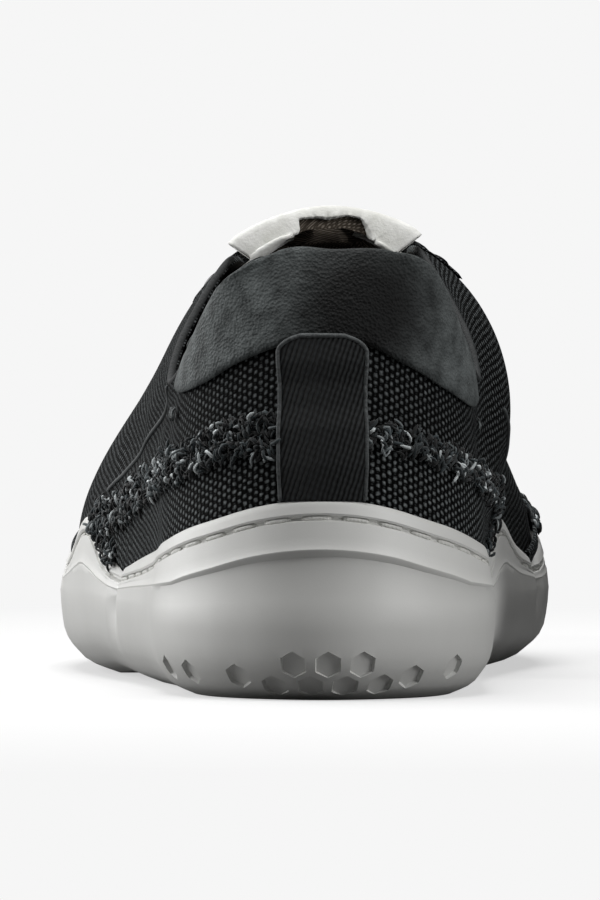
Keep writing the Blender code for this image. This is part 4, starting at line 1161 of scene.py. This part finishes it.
# Heel tape: a strip of black twill over the back seam, from the sole up over the foot of the tab, with a
# thin piping sewn along both sides and over its arched top.
TAPE_THICK = 0.0010
TAPE_WIDTH = 0.0157
TAPE_TOP = HEEL_HEIGHT - 0.0172
TAPE_HOLLOW = (TAPE_TOP - 0.0173, TAPE_TOP - 0.0048)
TAPE_SUNK = 0.0004
TAPE_HOLLOW_RUN = 0.0040
TAPE_HOLLOW_DEPTH = 0.0007
TAPE_BED = ((0.0390, 0.0008), (0.0460, 0.0018), (0.0620, 0.0018), (0.0700, 0.0024))
TWILL_PITCH = 0.95
TWILL_STEEPNESS = math.radians(72)
PIPING = 0.0009
PIPING_PLACE = 1.03


def tape_points(columns, rows, rise=0.0):
    """The tape's face as rows of points across the heel, following what lies under it."""
    base = SOLE_EDGE - TAPE_SUNK
    fine = np.linspace(-0.2, 0.2, 401)
    points = np.empty((rows + 1, len(columns), 3))
    for r in range(rows + 1):
        height = base + (TAPE_TOP - base) * r / rows
        at = row_at(fine, height)
        wide = read_skin(SKIN, fine, at)[:, 0]
        shoulder = max(0.0, (r / rows - 0.90) / 0.10)
        half = (TAPE_WIDTH / 2 - PIPING / 2) * math.sqrt(1 - 0.75 * shoulder**2)
        inside = min(height - TAPE_HOLLOW[0], TAPE_HOLLOW[1] - height) / TAPE_HOLLOW_RUN
        hollow = TAPE_HOLLOW_DEPTH * min(max(inside, 0.0), 1.0)
        under = float(np.interp(height, *zip(*TAPE_BED)))
        off = under + TAPE_THICK - hollow + rise
        at_turn = np.interp(np.asarray(columns) * half, wide, fine)
        points[r] = on_skin(at_turn, np.interp(at_turn, fine, at), off)
    return points


columns = np.linspace(-1, 1, 33)
points = tape_points(columns, 60)
flat = points[..., (0, 2)] * 1000
heel_tape = sheet_mesh("twill_heel_tape", points, flat)
add_wall(heel_tape, TAPE_THICK * 1.6)

# Black twill: dull cotton tape with steep ribs, and faint picks across them.
black_twill, tree, shader = new_material("black_twill")
heel_tape.data.materials.append(black_twill)
flat = node(tree, "UVMap", uv_map="threads")
wander = node(tree, "TexNoise", {"Vector": flat, "Scale": 0.5, "Detail": 2.0}).outputs["Color"]
moved = node(tree, "VectorMath", {0: wander, 1: (0.50, 0.50, 0.0), 2: flat}, operation="MULTIPLY_ADD")
pace = math.pi / TWILL_PITCH
over = (math.sin(TWILL_STEEPNESS) * pace, -math.cos(TWILL_STEEPNESS) * pace, 0)
rib = node(tree, "VectorMath", {0: moved, 1: over}, operation="DOT_PRODUCT")
rib = node(tree, "Math", {0: rib}, operation="SINE")
rib = node(tree, "Math", {0: rib}, operation="ABSOLUTE")
rib = node(tree, "Math", {0: rib, 1: 0.8}, operation="POWER")
picks = node(tree, "VectorMath", {0: moved, 1: (1.6, 4.2, 0)}, operation="DOT_PRODUCT")
picks = node(tree, "Math", {0: picks}, operation="SINE")
rib = node(tree, "Math", {0: picks, 1: 0.06, 2: rib}, operation="MULTIPLY_ADD")
# Colour follows the ribs: their tops get painted highlight and the grooves painted shade.
tone = node(tree, "MapRange", {"Value": rib, "From Min": 0.50, "From Max": 1.06})
paint = node(tree, "Mix", {0: tone, 6: web_colour("030303"), 7: web_colour("2c2f30")}, data_type="RGBA")
skin = node(tree, "Bump", {"Strength": 1.0, "Distance": 0.00030, "Height": rib})
plug(shader, {"Base Color": paint, "Roughness": 0.75, "Specular IOR Level": 0.3, "Normal": skin})
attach(heel_tape, "root")
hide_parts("heel_tape")

border = tape_points(np.array([-PIPING_PLACE, PIPING_PLACE]), 60, -0.0001)
arch = tape_points(np.linspace(-PIPING_PLACE, PIPING_PLACE, 33), 60)[-1]
loop = np.concatenate((border[:, 0], arch[1:-1], border[::-1, 1]))
run = run_along(loop[None], 1)[0]
loop = read_line(np.linspace(0, run[-1], 170), run, loop)
tape_piping = yarn_mesh("tape_piping", [loop], PIPING / 2, sides=10)

# Corded piping: cotton twisted over a cord, so it looks mottled, grey on top and dark in the twist.
corded_piping, tree, shader = new_material("corded_piping")
tape_piping.data.materials.append(corded_piping)
spot = node(tree, "TexCoord").outputs["Object"]
cord = node(tree, "TexNoise", {"Vector": spot, "Scale": 1400.0, "Detail": 2.0})
paint = node(tree, "Mix", {0: cord, 6: web_colour("0e0f0f"), 7: web_colour("686c6d")}, data_type="RGBA")
skin = node(tree, "Bump", {"Strength": 0.8, "Distance": 0.0003, "Height": cord})
plug(shader, {"Base Color": paint, "Roughness": 0.8, "Normal": skin})
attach(tape_piping, "root")


# Collar binding: a thin folded strip of dark grey cloth that covers the cut edge of the collar, from the
# tab's ends forward to the throat.
BINDING = 0.0007
BINDING_END = 0.332
BINDING_LAPS = (0.004, 0.006)

# Folded binding: the same cotton laid flat and dyed darker.
folded_binding = corded_piping.copy()
folded_binding.name = "folded_binding"
folded_binding.node_tree.nodes["Mix"].inputs[7].default_value = web_colour("2c2f30")
for side, word, end in ((-1, "lateral", TAB_ENDS[0]), (1, "medial", TAB_ENDS[1])):
    at = np.linspace(side * (turn(end) - BINDING_LAPS[0]), side * (turn(BINDING_END) + BINDING_LAPS[1]), 90)
    line = on_skin(at, np.full(90, 1.0), -UPPER_WALL * 0.35)
    binding = yarn_mesh(f"collar_binding_{word}", [line], BINDING, sides=10, taper=0.8)
    binding.data.materials.append(folded_binding)
    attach(binding, "root")


# Facing: a band of the same black canvas round the throat, which carries the eyelets. Its lower edge is
# turned under and lies flat on the upper.
FACING_WIDTH = 0.0135
FACING_THICK = 0.0006
FACING_START = 0.352

turns = np.linspace(turn(FACING_START), 2 - turn(FACING_START), 401)
low = row_under_top(turns, FACING_WIDTH)
facing = panel_on_skin(
    "throat_facing", turns, low, np.ones_like(turns), FACING_THICK, PANEL_CLEAR, 20, "toe", edge=0.0022
)
facing.data.materials.append(black_canvas)
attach(facing, "root")
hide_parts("facing")


# Tongue: light grey suede with a brown lining, sewn in at the throat's end and standing over the collar
# in an arch. Its top edge is turned back in a hem.
TONGUE_THICK = 0.0026
TONGUE_CLEAR = 0.0010
TONGUE_RISE = 0.0040
TONGUE_CORNER = 0.0040
TONGUE_CROWN = 0.0060
TONGUE_LEAN = -0.0010
TONGUE_ENDS = (0.965, 0.335)
TONGUE_WINGS = (0.0075, 0.0055, 0.0038, 0.0024)


def bridge(at, share, off, crown):
    """A point on the arch that spans the throat between the two sides."""
    left = on_skin(-at, 1.0, off)
    right = on_skin(at, 1.0, off)
    middle = left + (right - left) * share
    middle[2] += crown * 4 * share * (1 - share)
    return middle


stations = np.linspace(turn(TONGUE_ENDS[0]), turn(TONGUE_ENDS[1]), 60)
crown = np.interp(np.linspace(0, 1, len(stations)), (0, 0.3, 1), (0.0005, 0.5 * TONGUE_CROWN, TONGUE_CROWN))
under = -(UPPER_WALL + TONGUE_CLEAR)
wings = np.array(TONGUE_WINGS)
shares = np.linspace(0.12, 0.88, 21)
rings = []
for at, rise in zip(stations, crown):
    left = on_skin(np.full(4, -at), row_under_top(np.full(4, -at), wings), under)
    right = on_skin(np.full(4, at), row_under_top(np.full(4, at), wings), under)
    middle = [bridge(at, share, under, rise) for share in shares]
    rings.append(np.concatenate((left, middle, right[::-1])))
arch = np.sin(np.linspace(0, math.pi, len(rings[0]))) ** 0.7
for share in np.linspace(0.08, 1.0, 16):
    upper_part = max(0.0, (share - 0.3) / 0.7)
    inset = 0.13 - 0.15 * upper_part
    corner = TONGUE_CORNER * upper_part
    raised = []
    for k, across_it in enumerate(np.linspace(inset, 1 - inset, len(arch))):
        point = bridge(stations[-1], across_it, under, 0.0)
        point[2] += (TONGUE_CROWN + TONGUE_RISE * share - corner) * arch[k] + corner
        point[1] -= TONGUE_LEAN * share * (0.4 + 0.6 * arch[k])
        raised.append(point)
    rings.append(np.array(raised))
points = np.array(rings)[:, ::-1]
flat = np.stack((run_along(points, 1), run_along(points, 0)), axis=-1) * 1000
tongue = sheet_mesh("suede_tongue", points, flat)

# Suede: brushed split leather, pale grey with no shine, light and dark where the nap lies over. Its
# fibres are drawn at 0.6 mm so that they show.
light_suede, tree, shader = new_material("light_suede")
spot = node(tree, "TexCoord").outputs["Object"]
nap = node(tree, "TexNoise", {"Vector": spot, "Scale": 420.0, "Detail": 6.0})
brushed = node(tree, "TexNoise", {"Vector": spot, "Scale": 95.0, "Detail": 3.0})
mottle = node(tree, "Math", {0: nap, 1: brushed}, operation="MULTIPLY")
tone = node(tree, "MapRange", {"Value": mottle, "From Min": 0.14, "From Max": 0.34})
paint = node(tree, "Mix", {0: tone, 6: web_colour("dcdcd6"), 7: web_colour("f0f0ec")}, data_type="RGBA")
fibres = node(tree, "TexNoise", {"Vector": spot, "Scale": 1800.0, "Detail": 4.0})
skin = node(tree, "Bump", {"Strength": 0.5, "Distance": 0.0002, "Height": fibres})
plug(shader, {"Base Color": paint, "Roughness": 0.9, "Normal": skin})
plug(shader, {"Specular IOR Level": 0.2, "Sheen Weight": 0.25})
tongue.data.materials.append(light_suede)

# Brown lining: fine dull cotton, warm against the grey suede.
brown_lining = plain_weave("brown_lining", "4a433b", "a0968a", 0.7, 0.7, 0.00008)
tongue.data.materials.append(brown_lining)
add_wall(tongue, TONGUE_THICK, inner=1)

HEM_THICK = 0.0005
HEM_START = 0.0003
HEM_OUTSIDE = 0.0060
HEM_PUFF = 0.0016
HEM_PLEAT = 0.00016
HEM_COLUMNS = 121
HEM_DEPTHS = (
    # place across in millimetres, depth of the turned-back hem on the lining in millimetres
    (-22.0, 12.0), (-8.6, 11.0), (-7.2, 5.0), (-5.4, 1.2), (-1.3, 1.5), (1.2, 2.0), (3.4, 1.6),
    (5.4, 1.1), (8.4, 1.3), (10.6, 3.2), (13.0, 5.5), (15.0, 11.0), (22.0, 12.0),
)
coarse = np.arange(points.shape[1])
rows = np.array([read_line(np.linspace(0, coarse[-1], HEM_COLUMNS), coarse, row) for row in points])
facing_out = unit(np.cross(np.gradient(rows, axis=1), np.gradient(rows, axis=0)))
down = run_along(rows[::-1], 0)
folds = []
for c in range(HEM_COLUMNS):
    column, normals = rows[::-1, c], facing_out[::-1, c]
    depth = np.interp(column[0, 0] * 1000, *zip(*HEM_DEPTHS)) / 1000
    pleat = HEM_PLEAT * (math.sin(c * 1.37) + math.sin(c * 0.61 + 1.0))
    pleat *= float(np.interp(abs(column[0, 0] - 0.003), (0.004, 0.010), (1.0, 0.1)))
    upright = unit(column[0] - column[1])
    path = []
    for drop in np.linspace(HEM_OUTSIDE, HEM_START, 6):
        lifted = HEM_THICK * min(1, (HEM_OUTSIDE - drop) / 0.001)
        path.append(read_line(drop, down[:, c], column) + normals[0] * lifted)
    middle = column[0] - normals[0] * TONGUE_THICK / 2
    reach = TONGUE_THICK / 2 + HEM_THICK
    for angle in np.radians((20, 55, 90, 125, 160)):
        path.append(middle + normals[0] * math.cos(angle) * reach + upright * math.sin(angle) * reach * 0.8)
    for share in np.linspace(0.0, 1.0, 11):
        drop = HEM_START + (depth - HEM_START) * share
        puffed = HEM_THICK * (1.4 if share < 0.9 else 0.6) + pleat * share
        puffed += HEM_PUFF * min(depth / 0.010, 1) * math.sin(math.pi * min(share * 0.62, 0.5))
        path.append(read_line(drop, down[:, c], column) - normals[0] * (TONGUE_THICK + puffed))
    folds.append(path)
folds = np.array(folds).transpose(1, 0, 2)
tongue_hem = sheet_mesh("suede_tongue_hem", folds[:, ::-1])
tongue_hem.data.materials.append(light_suede)
add_wall(tongue_hem, -0.0004)
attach(tongue_hem, "root")
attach(tongue, "root")
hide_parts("tongue")


# Bartacks and side seams: close zigzags of thread that hold the ends of the tab, and the ridge of the
# lapped seam that runs from the dip of the collar down and forward on each side.
BARTACKS = (("lateral", -1, 0.126, 0.0558), ("medial", 1, 0.150, 0.0535))
BARTACK_WIDTH = 0.0036
BARTACK_HEIGHT = 0.0024
BARTACK_YARN = 0.00017
BARTACK_STITCHES = 26
SEAM_RIDGE = 0.00045
METRES_A_TURN = 0.28
SIDE_SEAMS = (
    # word, side, places as (share of length, height)
    ("lateral", -1, ((0.205, 0.0612), (0.235, 0.0560), (0.290, 0.0500), (0.360, 0.0440), (0.430, 0.0385))),
    ("medial", 1, ((0.330, 0.0560), (0.370, 0.0490), (0.410, 0.0420), (0.440, 0.0360))),
)

# Sewn thread: spun black thread, matt, grey where a stitch stands up to the light.
sewn_thread, tree, shader = new_material("sewn_thread")
painted_light = node(tree, "Attribute", attribute_name="tone").outputs["Fac"]
paint = node(tree, "Mix", {0: painted_light, 6: web_colour("1a1c1c"), 7: web_colour("7e8485")}, data_type="RGBA")
plug(shader, {"Base Color": paint, "Roughness": 0.7})

chance = np.random.default_rng(21)
stand = PANEL_CLEAR + OVERLAY_THICK * 0.4 + np.array([0, 5, 7, 5, 0]) * 0.00008
for word, side, along, height in BARTACKS:
    turns = side * turn(along) + chance.uniform(-1, 1, BARTACK_STITCHES) * BARTACK_WIDTH / 2 / METRES_A_TURN
    heights = height + chance.uniform(-0.2, 0.2, BARTACK_STITCHES) * BARTACK_HEIGHT
    lines = []
    for at, middle in zip(turns, heights):
        tall = np.linspace(-0.5, 0.5, 5) * BARTACK_HEIGHT
        slant = chance.normal(0, 0.0011)
        places = at + side * np.linspace(-0.5, 0.5, 5) * slant / METRES_A_TURN
        lines.append(on_skin(places, row_at(places, middle + tall), stand))
    tones = chance.uniform(0, 1, BARTACK_STITCHES) ** 2
    bartack = yarn_mesh(f"bartack_{word}", lines, BARTACK_YARN, sides=5, tones=tones)
    bartack.data.materials.append(sewn_thread)
    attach(bartack, "root")
for word, side, places in SIDE_SEAMS:
    keys = np.linspace(0, 1, len(places))
    fine = np.linspace(0, 1, 70)
    turns = side * np.interp(fine, keys, [turn(a) for a, _ in places])
    heights = np.interp(fine, keys, [h for _, h in places])
    line = on_skin(turns, row_at(turns, heights), 0.0001)
    seam = yarn_mesh(f"side_seam_{word}", [line], SEAM_RIDGE, sides=8, tones=[0.25])
    seam.data.materials.append(sewn_thread)
    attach(seam, "root")


# Eyelets: ten small flanged rings of black enamelled brass, pressed through the facing in two rows. Only
# the rounded flange shows, lying flat on the cloth round its hole.
EYELETS = (0.378, 0.428, 0.478, 0.530, 0.584)
EYELET_INSET = 0.0068
FLANGE = (
    # radius, height over the cloth
    (0.0021, -0.0006), (0.0021, 0.0002), (0.0024, 0.00055), (0.0030, 0.0006), (0.0035, 0.0003),
    (0.0036, 0.0),
)

# Enamelled brass: near black under a thin clear gloss, rubbed unevenly dull by the lace.
enamelled_brass, tree, shader = new_material("enamelled_brass")
spot = node(tree, "TexCoord").outputs["Object"]
wear = node(tree, "TexNoise", {"Vector": spot, "Scale": 700.0, "Detail": 4.0})
gloss = node(tree, "MapRange", {"Value": wear, "To Min": 0.22, "To Max": 0.50})
plug(shader, {"Base Color": web_colour("17181a"), "Roughness": gloss, "Coat Weight": 0.3})

facing_top = PANEL_CLEAR + FACING_THICK
for side, word in ((-1, "lateral"), (1, "medial")):
    for number, along in enumerate(EYELETS, 1):
        at = np.array([side * turn(along)])
        row = row_under_top(at, EYELET_INSET)
        centre = Vector(on_skin(at, row, facing_top)[0])
        out = Vector(read_skin(SKIN_OUT, at, row)[0]).normalized()
        level = out.cross(Vector((0, 0, 1))).normalized()
        upright = level.cross(out)
        rings = []
        for radius, high in FLANGE:
            round_it = [level * math.cos(a) + upright * math.sin(a) for a in np.linspace(0, 2 * math.pi, 25)]
            rings.append([tuple(centre + out * high + way * radius) for way in round_it])
        eyelet = sheet_mesh(f"pressed_eyelet_{word}_{number}", np.array(rings)[::-1], closed=True)
        eyelet.data.materials.append(enamelled_brass)
        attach(eyelet, "root")
        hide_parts(f"eyelet_{word}_{number}")


# Lace: a flat black cotton braid, drawn criss-cross over the tongue through the eyelets. Its ends are
# tucked away under the top pair.
LACE_WIDTH = 0.0060
LACE_THICK = 0.0009
LACE_STEPS = 34
LACE_RISE = 0.0062
LACE_LIFT = (-0.0016, 0.0002, 0.0003, 0.0002, 0.0002)
LACE_CROSSING = 0.0011


def lace_run(start, end, layer):
    """One run of the braid from eyelet to eyelet over the tongue, with the way up at each point."""
    halves = []
    for word, number in (start, end):
        side = -1 if word == "lateral" else 1
        at = np.full(5, side * turn(EYELETS[number - 1]))
        rows = np.linspace(row_under_top(at[:1], EYELET_INSET)[0], 1.0, 5)
        off = facing_top + LACE_THICK / 2 + np.array(LACE_LIFT)
        halves.append((on_skin(at, rows, off), read_skin(SKIN_OUT, at, rows)))
    (left, left_up), (right, right_up) = halves
    a, b = left[-1], right[-1]
    share = np.linspace(0, 1, 13)[1:-1, None]
    hump = 4 * share * (1 - share)
    over = a + (b - a) * share
    over[:, 2] += (LACE_RISE + layer) * hump[:, 0]
    arched = left_up[-1] * (1 - share) + right_up[-1] * share + np.array([0, 0, 1.6]) * hump
    points = np.concatenate((left, over, right[::-1]))
    ups = np.concatenate((left_up, arched, right_up[::-1]))
    run = run_along(points[None], 1)[0]
    even = np.linspace(0, run[-1], LACE_STEPS)
    fine = read_line(even, run, points)
    for smoothing in range(2):
        fine[1:-1] = (fine[:-2] + 2 * fine[1:-1] + fine[2:]) / 4
    return fine, unit(read_line(even, run, ups))


def braid(name, lines):
    """One mesh of flat bands along their lines, each pinched where it enters its eyelets."""
    bm = bmesh.new()
    uv = bm.loops.layers.uv.new("threads")
    profile = [(-1, 0.0), (-0.92, 0.75), (-0.5, 1.0), (0.5, 1.0), (0.92, 0.75), (1, 0.0)]
    profile += [(0.92, -0.75), (0.5, -1.0), (-0.5, -1.0), (-0.92, -0.75)]
    for line, ups in lines:
        along = unit(np.gradient(line, axis=0))
        across = unit(np.cross(along, ups))
        up = np.cross(across, along)
        run = run_along(line[None], 1)[0]
        away = np.minimum(run, run[-1] - run)
        pinch = 0.36 + 0.64 * np.clip(away / 0.0055, 0, 1) ** 0.7
        rows = []
        for k, point in enumerate(line):
            wide = across[k] * LACE_WIDTH / 2 * pinch[k]
            thick = up[k] * LACE_THICK / 2 * (1.6 - 0.6 * pinch[k])
            rows.append([bm.verts.new(point + wide * x + thick * y) for x, y in profile])
        for k in range(len(rows) - 1):
            for i in range(len(profile)):
                j = (i + 1) % len(profile)
                face = bm.faces.new((rows[k][i], rows[k][j], rows[k + 1][j], rows[k + 1][i]))
                for loop, side, step in zip(face.loops, (i, j, j, i), (k, k, k + 1, k + 1)):
                    loop[uv].uv = (profile[side][0] * LACE_WIDTH / 2 * 1000, run[step] * 1000)
        bm.faces.new(rows[0][::-1])
        bm.faces.new(rows[-1])
    bmesh.ops.recalc_face_normals(bm, faces=bm.faces[:])
    mesh = bpy.data.meshes.new(name)
    bm.to_mesh(mesh)
    bm.free()
    mesh.shade_smooth()
    return new_object(name, mesh)


runs = [lace_run(("lateral", 5), ("medial", 5), 0.0)]
for number in range(len(EYELETS), 1, -1):
    runs.append(lace_run(("lateral", number), ("medial", number - 1), 0.0))
    runs.append(lace_run(("medial", number), ("lateral", number - 1), LACE_CROSSING))
lace = braid("cotton_lace", runs)

# Cotton braid: black and dull, with a finer, greyer weave than the canvas.
cotton_braid = plain_weave("cotton_braid", "0d0e0e", "4a4d4e", 0.8, 0.8, 0.00015)
lace.data.materials.append(cotton_braid)
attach(lace, "root")
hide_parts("lace")
